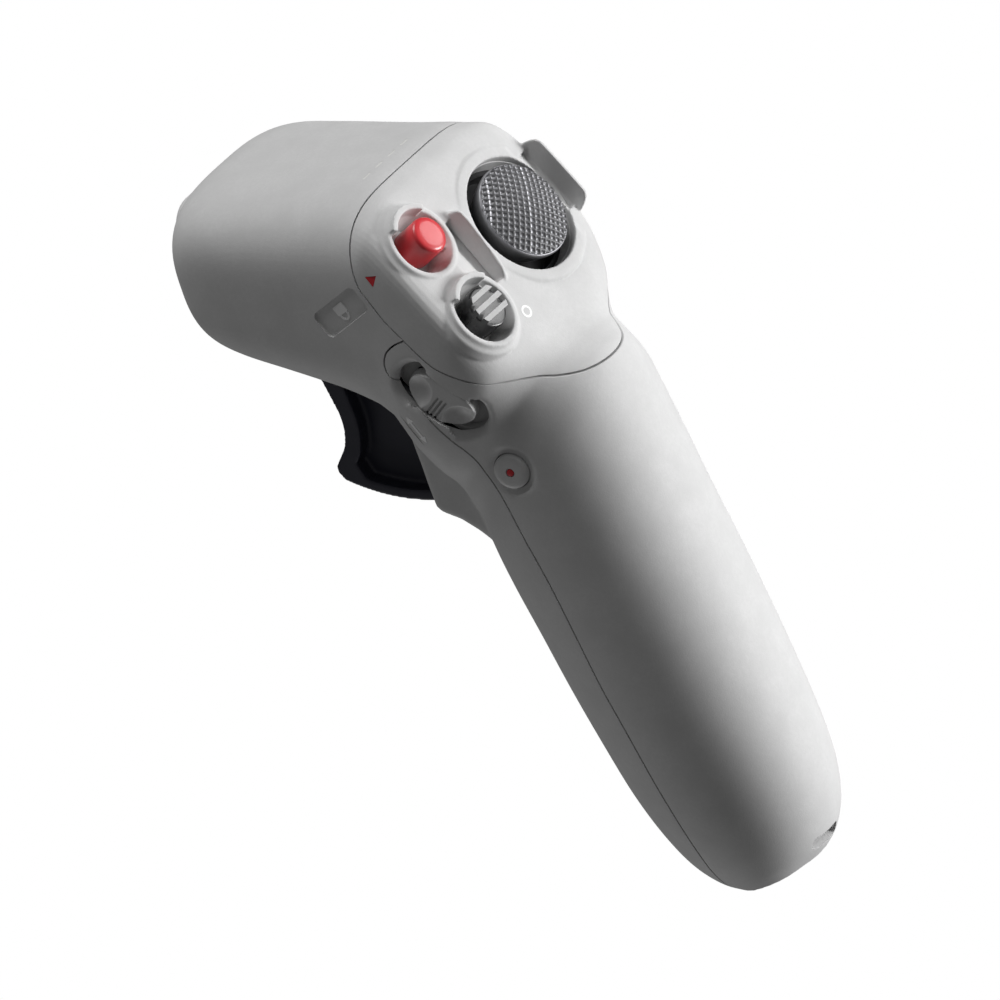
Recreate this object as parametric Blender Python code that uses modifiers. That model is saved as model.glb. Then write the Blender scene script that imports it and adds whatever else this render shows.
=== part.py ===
"""One-hand motion controller: barrel, sloped control panel, leaning pistol grip, swinging trigger.

Lengths in this file are millimetres in a side frame: X to the right, Y toward the nose, Z up,
measured from the middle of the control panel's flat face. point() moves them to the part's
origin, which is the grip point on the handle's axis, and turns them into metres.
"""
import math

import bmesh
import bpy
from mathutils import Matrix, Vector

MM = 0.001
GRIP = (0.0, -14.9, -86.0)          # grip point in the side frame: the part's origin
WALL = 1.9                          # shell wall
SEAM = 0.32                         # gap between neighbouring shells
RING = 32                           # points round one body section

# outer y, outer z, inner y, inner z, half width, outer exponent, inner exponent
SECTIONS = [
    (64.2, 9.5, 63.4, -7.0, 15.0, 2.7, 2.5),
    (63.6, 14.6, 62.4, -11.8, 20.0, 2.8, 2.6),
    (62.0, 17.6, 60.4, -14.6, 23.2, 3.0, 2.6),
    (58.8, 19.3, 57.0, -16.7, 25.2, 3.2, 2.7),
    (53.4, 20.1, 51.2, -18.8, 26.3, 3.4, 2.8),
    (45.0, 20.2, 43.0, -21.5, 26.8, 3.4, 2.8),
    (37.0, 20.2, 36.0, -24.0, 27.0, 3.4, 2.8),
    (29.0, 20.2, 30.6, -26.6, 27.0, 3.4, 2.7),
    (22.4, 20.1, 26.4, -29.2, 27.1, 3.5, 2.6),
    (17.6, 19.8, 23.6, -31.4, 27.2, 3.8, 2.5),
    (13.8, 18.6, 21.8, -33.2, 27.3, 4.7, 2.5),
    (9.9, 16.2, 20.6, -35.2, 27.4, 7.2, 2.4),
    (5.5, 10.7, 19.6, -37.6, 27.6, 9.6, 2.4),
    (0.0, 2.4, 18.8, -40.4, 27.6, 10.0, 2.4),
    (-5.4, -6.2, 18.0, -43.4, 27.0, 8.8, 2.3),
    (-9.2, -13.4, 17.4, -46.2, 25.1, 6.2, 2.3),
    (-11.6, -17.6, 17.0, -48.8, 23.1, 3.8, 2.2),
    (-14.2, -20.2, 16.6, -51.4, 21.8, 2.7, 2.2),
    (-17.2, -21.8, 16.2, -54.0, 21.5, 2.3, 2.2),
    (-20.4, -24.0, 16.0, -56.6, 21.4, 2.1, 2.1),
    (-22.9, -28.4, 15.8, -59.2, 21.4, 2.1, 2.1),
    (-24.8, -36.5, 15.5, -62.2, 21.5, 2.1, 2.1),
    (-26.9, -46.5, 14.8, -66.2, 21.6, 2.1, 2.1),
    (-29.2, -58.5, 13.3, -72.6, 21.6, 2.1, 2.1),
    (-32.0, -71.0, 10.8, -82.0, 21.5, 2.1, 2.1),
    (-34.7, -84.0, 7.8, -94.2, 21.2, 2.1, 2.1),
    (-37.2, -97.0, 4.4, -106.6, 20.6, 2.1, 2.1),
    (-39.3, -109.0, 1.0, -118.2, 19.7, 2.1, 2.1),
    (-40.4, -119.0, -2.8, -127.7, 18.2, 2.1, 2.1),
    (-39.7, -127.5, -7.0, -135.2, 15.9, 2.1, 2.1),
    (-37.2, -134.0, -11.8, -140.2, 12.8, 2.1, 2.1),
    (-33.4, -138.4, -16.8, -142.8, 9.4, 2.1, 2.1),
]
# how far each end section of the hollow sits back from the skin
NOSE_BACK = (2.2, 1.9, 1.4, 0.7)
FOOT_BACK = (0.5, 1.2, 2.0, 2.6)

PANEL_SEAM = [(14.9, 40.0), (14.9, 19.0), (14.9, 10.0), (14.3, 4.8), (12.6, 1.4), (10.3, -2.7),
              (6.9, -7.2), (2.6, -12.8), (-0.8, -15.5), (-6.1, -19.0), (-12.8, -22.6),
              (-17.9, -24.2), (-24.0, -25.2), (-60.0, -26.0)]
SEAM_FORK = 6                       # where the rear shell's seam leaves the panel's seam
REAR_SEAM = [(6.9, -7.2), (9.8, -8.3), (12.2, -10.0), (13.5, -12.6), (13.0, -15.4), (10.4, -19.1),
             (8.0, -23.1), (5.6, -29.0), (2.6, -37.9), (-0.3, -45.8), (-2.9, -55.4), (-5.7, -65.5),
             (-8.0, -76.9), (-10.1, -88.4), (-12.5, -98.8), (-14.7, -109.3), (-16.7, -119.4),
             (-18.1, -129.3), (-18.4, -138.0), (-18.4, -170.0)]

DOWN = Vector((0.0, -0.543, -0.840)).normalized()   # down the panel
OUT = Vector((0.0, -0.840, 0.543)).normalized()     # out of the panel
STICK = (10.6, -1.1)                # joystick axis: x and distance down the panel
STICK_PIVOT = -6.0
CAP_R = 10.5
WELL_R = 13.1
POD_R = 15.2                        # raised ground round the joystick well
POD_TOP = 1.3
LOCK = (-16.0, -10.1)
MODE = (-16.0, 8.4)
COLLAR_R = 8.2
COLLAR_BORE = 5.4
COLLAR_TOP = 1.6
LOBE = (6.7, 7.9, 3.2)              # inner radius, outer radius and top of a collar's high wall
LOBE_SPAN = (224.0, 317.0)          # degrees from X toward DOWN
BUTTON_R = 4.1
MODE_R = 4.5
GUARD_LEFT = [(-3.6, -6.0), (-3.6, 2.8), (-4.0, 3.4), (-4.8, 3.4), (-7.8, 0.4), (-8.0, -6.0)]
GUARD_RIGHT = [(22.6, -9.0), (23.8, -2.0), (25.2, 3.0), (26.2, 3.8), (27.2, 3.4), (27.6, -3.0),
               (26.2, -9.0)]
POSTS = [(-1.0, -15.0), (-2.0, 9.0), (-16.5, -0.8)]

PIVOT = (27.0, -9.0)                # trigger axis in the side frame: y, z
TRIGGER_R = 43.8
TRIGGER_HALF = 9.4
TRIGGER_SLOT = 10.7
PIN_R = 1.25
BORE_R = 1.6

SLIDER = Vector((-24.8, 4.0, -21.7))                # middle of the slider's recess
SLIDE_WAY = Vector((0.232, -0.626, -0.745)).normalized()
SLIDE_OUT = Vector((-0.966, -0.205, -0.130))
RECORD = Vector((-21.2, -4.4, -40.2))
RECORD_OUT = Vector((-0.990, -0.140, 0.015))
POWER = Vector((26.6, 31.0, 1.0))
POINTER = Vector((-27.25, 10.5, 6.3))
NOSE_HALF = 15.5                    # nose cover
NOSE_LOW = -10.0
NOSE_TOP = 15.6
LIGHTS = [-8.1, -3.3, 1.5, 6.3]
LIGHT_Y = 19.3

AXIS = Vector((0.0, -0.262, -0.965)).normalized()   # down the handle
FRONT = Vector((0.0, 0.965, -0.262)).normalized()   # out of the handle's front
CELL = Vector((0.0, -17.3, -95.0))
CELL_R = 9.2
CELL_LONG = 65.0
CORD_EYE = Vector((0.0, -37.6, -133.8))
EYE_OUT = Vector((0.0, -0.86, -0.50))
FOOT = Vector((0.0, -26.0, -139.6))                 # middle of the end cap
CAP_HALF = 8.4


# ---------------------------------------------------------------- scene, materials, placing

def clear_scene():
    for thing in list(bpy.data.objects):
        bpy.data.objects.remove(thing, do_unlink=True)


def new_collection(name):
    group = bpy.data.collections.new(name)
    bpy.context.scene.collection.children.link(group)
    return group


clear_scene()
PARTS = new_collection("one_hand_controller")
CUTTERS = new_collection("cutters")
MATERIALS = {}


def material(name, color, rough, metal=0.0):
    made = bpy.data.materials.new(name)
    made.use_nodes = True
    shader = made.node_tree.nodes["Principled BSDF"]
    shader.inputs["Base Color"].default_value = (*color, 1.0)
    shader.inputs["Roughness"].default_value = rough
    shader.inputs["Metallic"].default_value = metal
    made.diffuse_color = (*color, 1.0)
    MATERIALS[name] = made


for row in [("shell_grey", (0.62, 0.62, 0.61), 0.5), ("panel_grey", (0.64, 0.64, 0.63), 0.5),
            ("stick_dark", (0.10, 0.10, 0.11), 0.5), ("well_black", (0.02, 0.02, 0.02), 0.6),
            ("lock_red", (0.62, 0.05, 0.06), 0.3), ("button_black", (0.03, 0.03, 0.035), 0.4),
            ("button_grey", (0.52, 0.52, 0.52), 0.45), ("mark_red", (0.70, 0.03, 0.04), 0.4),
            ("trigger_black", (0.02, 0.02, 0.022), 0.35), ("light_guide", (0.80, 0.80, 0.78), 0.3),
            ("board_green", (0.03, 0.20, 0.09), 0.5), ("chip_black", (0.02, 0.02, 0.02), 0.4),
            ("frame_black", (0.05, 0.05, 0.05), 0.5), ("cell_blue", (0.05, 0.12, 0.40), 0.4),
            ("antenna_film", (0.45, 0.25, 0.05), 0.4)]:
    material(*row)
for row in [("steel", (0.60, 0.60, 0.62), 0.3, 1.0), ("tin", (0.72, 0.72, 0.70), 0.35, 1.0),
            ("magnet_nickel", (0.66, 0.65, 0.62), 0.25, 1.0)]:
    material(*row)


def point(x, y, z):
    return Vector((x - GRIP[0], y - GRIP[1], z - GRIP[2])) * MM


def place(p):
    return point(p[0], p[1], p[2])


def on_panel(x, down, out):
    p = DOWN * down + OUT * out
    return point(x, p.y, p.z)


def basis(origin, zdir, xdir):
    """A frame at origin (metres) with local Z along zdir and local X near xdir."""
    z = zdir.normalized()
    x = (xdir - z * xdir.dot(z)).normalized()
    y = z.cross(x)
    turn = Matrix((x, y, z)).transposed().to_4x4()
    return Matrix.Translation(origin) @ turn


def panel_basis(x, down, out):
    return basis(on_panel(x, down, out), OUT, Vector((1.0, 0.0, 0.0)))


def move_to(thing, group, slot):
    for old in list(thing.users_collection):
        old.objects.unlink(thing)
    group.objects.link(thing)
    if group is CUTTERS:
        thing.hide_render = True
        thing.display_type = 'WIRE'
    else:
        thing.data.materials.clear()
        thing.data.materials.append(MATERIALS[slot])
    return thing


def finish(thing, name, slot):
    thing.name = name
    thing.data.name = name
    group = CUTTERS if slot is None else PARTS
    return move_to(thing, group, slot)


def keep_origin(thing, origin):
    """Put the object's origin at a world point and leave its shape where it is."""
    shift = thing.matrix_world.inverted() @ origin
    thing.data.transform(Matrix.Translation(-shift))
    thing.matrix_world = thing.matrix_world @ Matrix.Translation(shift)


def bake(thing):
    thing.data.transform(thing.matrix_world)
    thing.matrix_world = Matrix.Identity(4)


# ---------------------------------------------------------------- basic solids

def rounded(half_a, low, high, radius, steps=5):
    """A rounded rectangle: half_a each side of 0 across, from low to high the other way."""
    rows = []
    for ca, cb, first in ((half_a, high, 0), (-half_a, high, 1), (-half_a, low, 2), (half_a, low, 3)):
        a0 = ca - math.copysign(radius, ca)
        b0 = cb - radius if cb == high else cb + radius
        for i in range(steps + 1):
            a = math.pi / 2 * (first + i / steps)
            rows.append((a0 + radius * math.cos(a), b0 + radius * math.sin(a)))
    return rows


def box(name, slot, frame, size, bevel=0.0):
    bpy.ops.mesh.primitive_cube_add(size=1.0)
    thing = bpy.context.object
    thing.matrix_world = frame @ Matrix.Diagonal((*[s * MM for s in size], 1.0))
    bake(thing)
    if bevel:
        edge = thing.modifiers.new("edge", 'BEVEL')
        edge.width = bevel * MM
        edge.segments = 2
    return finish(thing, name, slot)


def rod(name, slot, frame, radius, low, high, steps=24, bevel=0.0):
    """A cylinder along the frame's Z from low to high."""
    bpy.ops.mesh.primitive_cylinder_add(vertices=steps, radius=radius * MM, depth=(high - low) * MM)
    thing = bpy.context.object
    thing.matrix_world = frame @ Matrix.Translation((0.0, 0.0, (low + high) / 2 * MM))
    bake(thing)
    for face in thing.data.polygons:
        face.use_smooth = len(face.vertices) == 4
    if bevel:
        edge = thing.modifiers.new("edge", 'BEVEL')
        edge.width = bevel * MM
        edge.segments = 2
        edge.limit_method = 'ANGLE'
        edge.angle_limit = math.radians(50)
    return finish(thing, name, slot)


def turned(name, slot, frame, profile, steps=48):
    """A solid of revolution: (radius, height) pairs from the top pole down the outer side."""
    mesh = bpy.data.meshes.new(name)
    verts = [(r * MM, 0.0, h * MM) for r, h in profile]
    edges = [(i, i + 1) for i in range(len(verts) - 1)]
    if profile[0][0] > 0.0:
        edges.append((len(verts) - 1, 0))
    mesh.from_pydata(verts, edges, [])
    thing = bpy.data.objects.new(name, mesh)
    bpy.context.scene.collection.objects.link(thing)
    spin = thing.modifiers.new("turn", 'SCREW')
    spin.axis = 'Z'
    spin.angle = math.tau
    spin.steps = steps
    spin.render_steps = steps
    spin.use_merge_vertices = True
    spin.merge_threshold = 0.00001
    spin.use_smooth_shade = True
    thing.matrix_world = frame
    return finish(thing, name, slot)


def curve_mesh(name, slot, curve):
    """Turn an evaluated curve into a closed mesh object in world space."""
    bpy.context.view_layer.update()
    graph = bpy.context.evaluated_depsgraph_get()
    mesh = bpy.data.meshes.new_from_object(curve.evaluated_get(graph))
    matrix = curve.matrix_world.copy()
    bpy.data.objects.remove(curve, do_unlink=True)
    work = bmesh.new()
    work.from_mesh(mesh)
    bmesh.ops.remove_doubles(work, verts=work.verts, dist=0.00001)
    bmesh.ops.recalc_face_normals(work, faces=work.faces)
    work.to_mesh(mesh)
    work.free()
    thing = bpy.data.objects.new(name, mesh)
    bpy.context.scene.collection.objects.link(thing)
    thing.matrix_world = matrix
    bake(thing)
    return finish(thing, name, slot)


def slab(name, slot, frame, outline, low, high):
    """A flat outline in the frame's XY plane, thickened along its Z from low to high."""
    flat = bpy.data.curves.new(name, 'CURVE')
    flat.dimensions = '2D'
    flat.fill_mode = 'BOTH'
    flat.extrude = (high - low) / 2 * MM
    line = flat.splines.new('POLY')
    line.points.add(len(outline) - 1)
    for spot, (a, b) in zip(line.points, outline):
        spot.co = (a * MM, b * MM, 0.0, 1.0)
    line.use_cyclic_u = True
    thing = bpy.data.objects.new(name, flat)
    bpy.context.scene.collection.objects.link(thing)
    thing.matrix_world = frame @ Matrix.Translation((0.0, 0.0, (low + high) / 2 * MM))
    return curve_mesh(name, slot, thing)


SIDE = basis(point(0.0, 0.0, 0.0), Vector((1.0, 0.0, 0.0)), Vector((0.0, 1.0, 0.0)))


def side_slab(name, slot, outline, low, high):
    """A side-view outline of (y, z) pairs, thickened along X."""
    return slab(name, slot, SIDE, outline, low, high)


def tube(name, slot, path, radius, around=2):
    line = bpy.data.curves.new(name, 'CURVE')
    line.dimensions = '3D'
    line.bevel_depth = radius * MM
    line.bevel_resolution = around
    line.use_fill_caps = True
    run = line.splines.new('POLY')
    run.points.add(len(path) - 1)
    for spot, p in zip(run.points, path):
        spot.co = (*p, 1.0)
    thing = bpy.data.objects.new(name, line)
    bpy.context.scene.collection.objects.link(thing)
    return curve_mesh(name, slot, thing)


def stadium(half_long, half_wide, steps=8):
    """Outline of a rounded slot centred on 0, long the first way."""
    rows = []
    straight = half_long - half_wide
    for end in (1.0, -1.0):
        for i in range(steps + 1):
            a = math.pi * (i / steps - 0.5)
            rows.append((end * (straight + half_wide * math.cos(a)), end * half_wide * math.sin(a)))
    return rows


def boolean(thing, tool, kind):
    step = thing.modifiers.new(kind.lower() + "_" + tool.name, 'BOOLEAN')
    step.operation = kind
    step.solver = 'EXACT'
    step.object = tool
    return step


def cut(thing, *tools):
    for tool in tools:
        boolean(thing, tool, 'DIFFERENCE')


def add(thing, *tools):
    for tool in tools:
        boolean(thing, tool, 'UNION')


# ---------------------------------------------------------------- the body's skin

def ring_points(section, shrink=0.0, back=0.0, side=0.0):
    """One section of the body: a squared oval between its outer and inner side points."""
    oy, oz, iy, iz, half, p_out, p_in = section
    middle = Vector(((oy + iy) / 2, (oz + iz) / 2))
    across = Vector((oy - iy, oz - iz)) / 2
    reach = across.length
    across.normalize()
    along = Vector((-across.y, across.x)) * side
    middle = middle + along * back
    reach -= shrink
    half -= shrink
    ring = []
    for i in range(RING):
        a = math.tau * i / RING
        c, s = math.cos(a), math.sin(a)
        power = p_out if s >= 0 else p_in
        x = half * math.copysign(abs(c) ** (2 / power), c)
        t = reach * math.copysign(abs(s) ** (2 / power), s)
        spot = middle + across * t
        ring.append(point(x, spot.x, spot.y))
    return ring


def skin(name, hollow=False):
    rings = []
    last = len(SECTIONS) - 1
    for i, section in enumerate(SECTIONS):
        back, side = 0.0, 0.0
        if hollow and i < len(NOSE_BACK):
            back, side = NOSE_BACK[i], 1.0
        if hollow and last - i < len(FOOT_BACK):
            back, side = FOOT_BACK[len(FOOT_BACK) - 1 - (last - i)], -1.0
        rings.append(ring_points(section, WALL if hollow else 0.0, back, side))
    verts = [v for ring in rings for v in ring]
    faces = [tuple(range(RING))[::-1]]
    for k in range(last):
        a, b = k * RING, (k + 1) * RING
        faces += [(a + i, a + (i + 1) % RING, b + (i + 1) % RING, b + i) for i in range(RING)]
    faces.append(tuple(last * RING + i for i in range(RING)))
    mesh = bpy.data.meshes.new(name)
    mesh.from_pydata(verts, [], faces)
    work = bmesh.new()
    work.from_mesh(mesh)
    bmesh.ops.recalc_face_normals(work, faces=work.faces)
    work.to_mesh(mesh)
    work.free()
    for face in mesh.polygons:
        face.use_smooth = True
    thing = bpy.data.objects.new(name, mesh)
    bpy.context.scene.collection.objects.link(thing)
    return thing


def offset(path, gap):
    """The open path moved sideways by gap, to the left of its direction."""
    out = []
    for i, p in enumerate(path):
        a = Vector(path[max(i - 1, 0)])
        b = Vector(path[min(i + 1, len(path) - 1)])
        way = (b - a).normalized()
        out.append((p[0] - way.y * gap, p[1] + way.x * gap))
    return out


def shell(name, slot, region):
    thing = finish(skin(name), name, slot)
    boolean(thing, side_slab(name + "_region", None, region, -50.0, 50.0), 'INTERSECT')
    return thing


HALF_SEAM = SEAM / 2
HOLLOW = finish(skin("hollow", hollow=True), "hollow", None)


# ---------------------------------------------------------------- control panel

def collar(name, where):
    frame = panel_basis(where[0], where[1], 0.0)
    return rod(name, None, frame, COLLAR_R, -5.5, COLLAR_TOP, 40, 0.6)


def lobe(name, where):
    """The high wall over one part of a collar."""
    frame = basis(on_panel(where[0], where[1], 0.0), OUT, Vector((1.0, 0.0, 0.0)))
    outline = []
    for radius, order in ((LOBE[0], 1), (LOBE[1], -1)):
        ring = []
        for i in range(11):
            a = math.radians(LOBE_SPAN[0] + (LOBE_SPAN[1] - LOBE_SPAN[0]) * i / 10)
            ring.append((radius * math.cos(a), -radius * math.sin(a)))
        outline += ring[::order]
    return slab(name, None, frame, outline, -3.0, LOBE[2])


def guard(name, outline, low, high):
    """One raised wall beside the joystick: an end-on outline of (x, out) run down the panel."""
    frame = basis(on_panel(0.0, 0.0, 0.0), DOWN, Vector((1.0, 0.0, 0.0)))
    return slab(name, None, frame, outline, low, high)


def make_panel():
    seam = offset(PANEL_SEAM, -HALF_SEAM)
    region = seam + [(-60.0, 40.0)]
    panel = shell("control_panel", "panel_grey", region)
    add(panel, collar("lock_collar", LOCK), collar("mode_collar", MODE))
    add(panel, lobe("lock_lobe", LOCK), lobe("mode_lobe", MODE))
    pod = panel_basis(STICK[0], STICK[1], 0.0)
    add(panel, rod("pod", None, pod, POD_R, -6.5, POD_TOP, 48, 1.2))
    add(panel, guard("guard_left", GUARD_LEFT, -10.0, 5.8))
    add(panel, guard("guard_right", GUARD_RIGHT, -9.2, 5.4))
    cut(panel, HOLLOW)
    stick = panel_basis(STICK[0], STICK[1], 0.0)
    cut(panel, rod("well_hole", None, stick, WELL_R, -9.0, 12.0, 48))
    for name, where in (("lock", LOCK), ("mode", MODE)):
        frame = panel_basis(where[0], where[1], 0.0)
        add(panel, rod(name + "_cup", None, frame, COLLAR_BORE + 1.3, -5.2, 0.4, 36))
        cut(panel, rod(name + "_bore", None, frame, COLLAR_BORE, -4.0, 9.0, 36))
        cut(panel, rod(name + "_hole", None, frame, 2.4, -9.0, 3.0, 20))
    for i, (x, down) in enumerate(POSTS):
        frame = panel_basis(x, down, 0.0)
        add(panel, rod("post_%d" % i, None, frame, 2.0, -14.4, 0.1, 16))
        cut(panel, rod("post_hole_%d" % i, None, frame, 1.25, -16.0, -8.0, 14))
    return panel


# ---------------------------------------------------------------- front shell

def arc(radius, start, stop, steps):
    rows = []
    for i in range(steps + 1):
        a = math.radians(start + (stop - start) * i / steps)
        rows.append((PIVOT[0] + radius * math.sin(a), PIVOT[1] - radius * math.cos(a)))
    return rows


def make_front_shell():
    upper = offset(PANEL_SEAM[:SEAM_FORK + 1], HALF_SEAM)
    rear = offset(REAR_SEAM, HALF_SEAM)
    region = upper[:-1] + rear + [(100.0, -170.0), (100.0, 40.0)]
    front = shell("front_shell", "shell_grey", region)
    shelf_outline = [(27.5, -23.0), (25.2, -33.0), (24.0, -52.6), (22.8, -54.0), (18.6, -55.7),
                     (15.0, -58.2), (11.6, -61.4), (8.0, -60.0), (9.0, -42.0), (16.0, -25.0)]
    shelf = side_slab("shelf", None, shelf_outline, -12.8, 12.8)
    edge = shelf.modifiers.new("edge", 'BEVEL')
    edge.width = 1.2 * MM
    edge.segments = 2
    edge.limit_method = 'ANGLE'
    edge.angle_limit = math.radians(60)
    add(front, shelf)
    cut(front, HOLLOW)
    clear = [(48.4, -7.0), (48.4, -25.0), (60.0, -31.0)] + arc(TRIGGER_R + 0.5, 33.0, -29.0, 16)
    clear += [(5.0, -42.0), (9.0, -28.0), (16.0, -12.0), (20.0, -7.0)]
    cut(front, side_slab("trigger_room", None, clear, -TRIGGER_SLOT, TRIGGER_SLOT))
    for i, x in enumerate(LIGHTS):
        frame = basis(point(x, LIGHT_Y, 20.0), Vector((0.0, 0.0, 1.0)), Vector((1.0, 0.0, 0.0)))
        cut(front, box("light_slot_%d" % i, None, frame, (2.8, 0.7, 8.0)))
    side = basis(place(POWER), Vector((1.0, 0.0, 0.0)), Vector((0.0, 1.0, 0.0)))
    cut(front, rod("power_hole", None, side, 4.6, -5.0, 5.0, 28))
    label = basis(point(-27.1, 20.6, -1.0), Vector((-1.0, 0.0, 0.0)), Vector((0.0, -0.863, 0.503)))
    cut(front, slab("lock_label", None, label, rounded(7.0, -3.1, 3.1, 1.2, 3), -0.5, 3.0))
    slide = basis(place(SLIDER), SLIDE_OUT, SLIDE_WAY)
    cut(front, slab("slider_relief", None, slide, stadium(10.1, 4.3), -8.0, 8.0))
    nose = basis(point(0.0, 0.0, 0.0), Vector((0.0, 1.0, 0.0)), Vector((-1.0, 0.0, 0.0)))
    hole = rounded(NOSE_HALF + 0.25, NOSE_LOW - 0.25, NOSE_TOP + 0.25, 6.6)
    cut(front, slab("nose_hole", None, nose, hole, 58.0, 70.0))
    foot = basis(place(FOOT), AXIS, Vector((1.0, 0.0, 0.0)))
    cut(front, rod("foot_hole_front", None, foot, CAP_HALF + 0.3, -6.0, 12.0, 40))
    return front


# ---------------------------------------------------------------- rear shell

def make_rear_shell():
    upper = offset(PANEL_SEAM[SEAM_FORK:], HALF_SEAM)
    rear = offset(REAR_SEAM, -HALF_SEAM)
    region = rear[1:] + [(-60.0, -170.0)] + upper[::-1]
    back = shell("rear_shell", "shell_grey", region)
    cut(back, HOLLOW)
    slide = basis(place(SLIDER), SLIDE_OUT, SLIDE_WAY)
    boss = slab("slider_boss", None, slide, stadium(11.2, 5.4), -3.45, 3.0)
    boolean(boss, finish(skin("boss_limit"), "boss_limit", None), 'INTERSECT')
    boolean(boss, side_slab("boss_region", None, region, -50.0, 0.0), 'INTERSECT')
    add(back, boss)
    cut(back, slab("slider_opening", None, slide, stadium(10.1, 4.3), -8.0, 8.0))
    frame = basis(place(RECORD), RECORD_OUT, Vector((0.0, 0.0, 1.0)))
    cut(back, rod("record_dish", None, frame, 5.2, -0.5, 5.0, 36))
    cut(back, rod("record_hole", None, frame, 4.1, -6.0, 5.0, 32))
    foot = basis(place(FOOT), AXIS, Vector((1.0, 0.0, 0.0)))
    cut(back, rod("foot_hole_rear", None, foot, CAP_HALF + 0.3, -6.0, 12.0, 40))
    eye = basis(place(CORD_EYE), EYE_OUT, Vector((1.0, 0.0, 0.0)))
    for x in (-7.2, 7.2):
        lug = eye @ Matrix.Translation((x * MM, 0.0, -4.4 * MM))
        add(back, box("lug_left" if x < 0 else "lug_right", None, lug, (1.6, 4.0, 3.6)))
    cut(back, box("cord_eye", None, eye, (9.0, 3.2, 7.0)))
    bar = basis((eye @ Matrix.Translation((0.0, 0.0, -4.4 * MM))).translation,
                Vector((1.0, 0.0, 0.0)), Vector((0.0, 1.0, 0.0)))
    cut(back, rod("bar_hole", None, bar, 1.1, -8.4, 8.4, 16))
    rod("lanyard_bar", "steel", bar, 0.8, -8.0, 8.0, 16)
    return back


# ---------------------------------------------------------------- controls

def make_joystick():
    frame = panel_basis(STICK[0], STICK[1], 0.0)
    dome = []
    for i in range(9):
        r = 9.8 * i / 8
        dome.append((r, 4.6 - 1.5 * (r / 9.8) ** 2))
    profile = dome + [(10.3, 2.8), (CAP_R, 2.3), (10.4, 1.0), (9.6, -1.6), (8.2, -4.4), (7.2, -4.4),
                      (6.8, -2.4), (2.2, -2.4), (2.2, -7.0), (1.8, -8.4), (1.8, -10.2), (0.0, -10.2)]
    cap = turned("joystick_cap", "stick_dark", frame, profile, 56)
    pivot = panel_basis(STICK[0], STICK[1], STICK_PIVOT)
    set_screw_origin(cap, pivot)
    yoke = turned("joystick_yoke", "frame_black", pivot,
                  [(4.4, 0.5), (4.4, -0.5), (2.7, -0.5), (2.7, 0.5)], 24)
    module = box("joystick_module", "chip_black", panel_basis(STICK[0], STICK[1], -11.2),
                 (15.0, 15.0, 6.2), 0.4)
    cut(module, rod("module_pocket", None, pivot, 5.8, -4.9, 6.0, 28))
    liner = turned("well_liner", "well_black", frame,
                   [(12.85, -1.6), (12.85, -7.7), (6.2, -7.7), (6.2, -7.2), (11.8, -7.2), (12.5, -1.6)], 48)
    return cap, yoke, module, liner


def set_screw_origin(thing, frame):
    """Move a turned piece's origin along its own axis without moving its shape."""
    shift = frame.inverted() @ thing.matrix_world
    thing.data.transform(shift)
    thing.matrix_world = frame


def button(name, slot, frame, profile, steps=32):
    return turned(name, slot, frame, profile, steps)


def make_panel_buttons():
    lock = panel_basis(LOCK[0], LOCK[1], 0.0)
    top = [(0.0, 4.9), (2.0, 4.8), (3.4, 4.5), (BUTTON_R, 3.8), (BUTTON_R, -2.8), (1.9, -2.8),
           (1.9, -9.4), (0.0, -9.4)]
    button("lock_button", "lock_red", lock, top)
    mode = panel_basis(MODE[0], MODE[1], 0.0)
    top = [(0.0, 2.9), (MODE_R - 0.4, 2.9), (MODE_R, 2.5), (MODE_R, -2.8), (1.9, -2.8),
           (1.9, -9.4), (0.0, -9.4)]
    thing = button("mode_button", "button_black", mode, top)
    for i, (down, long) in enumerate(((-2.9, 6.2), (-0.5, 8.6), (1.9, 7.6))):
        frame = panel_basis(MODE[0], MODE[1] + down, 3.3)
        add(thing, box("mode_rib_%d" % i, None, frame, (long, 1.2, 1.3)))
    for name, where in (("lock_switch", LOCK), ("mode_switch", MODE)):
        frame = panel_basis(where[0], where[1], -14.5)
        part = box(name, "chip_black", panel_basis(where[0], where[1], -12.8), (6.0, 6.0, 3.2))
        add(part, rod(name + "_plunger", None, frame, 1.6, 1.0, 4.0, 16))


def make_slider():
    slide = basis(place(SLIDER), SLIDE_OUT, SLIDE_WAY)
    plate = slab("slider_plate", "button_grey", slide, stadium(11.2, 5.3), -4.8, -3.8)
    cut(plate, slab("slider_slit", None, slide, stadium(7.2, 1.6), -9.0, 4.0))
    bow = [(-7.6, -0.9), (-7.6, 0.6), (-6.2, 0.5), (-3.0, 1.3), (-1.8, 2.5), (1.8, 2.5), (3.0, 1.3),
           (6.2, 0.5), (7.6, 0.6), (7.6, -0.9)]
    lift = slide @ Matrix.Translation((0.0, 0.0, -1.1 * MM))
    knob = slab("tilt_slider", "button_grey", lift @ Matrix.Rotation(math.radians(90), 4, 'X'), bow,
                -4.0, 4.0)
    boolean(knob, slab("slider_plan", None, lift, stadium(7.4, 3.7), -2.0, 4.0), 'INTERSECT')
    add(knob, slab("slider_stem", None, slide, stadium(3.0, 1.2), -6.2, -1.6))
    for i in range(3):
        spot = lift @ Matrix.Translation(((i - 1) * 1.1 * MM, 0.0, 2.8 * MM))
        cut(knob, box("slider_groove_%d" % i, None, spot, (0.45, 8.0, 0.9)))
    spot = slide @ Matrix.Translation((3.2 * MM, 0.0, -8.6 * MM))
    box("slider_switch", "tin", spot, (9.0, 4.4, 3.6))
    return knob


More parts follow.
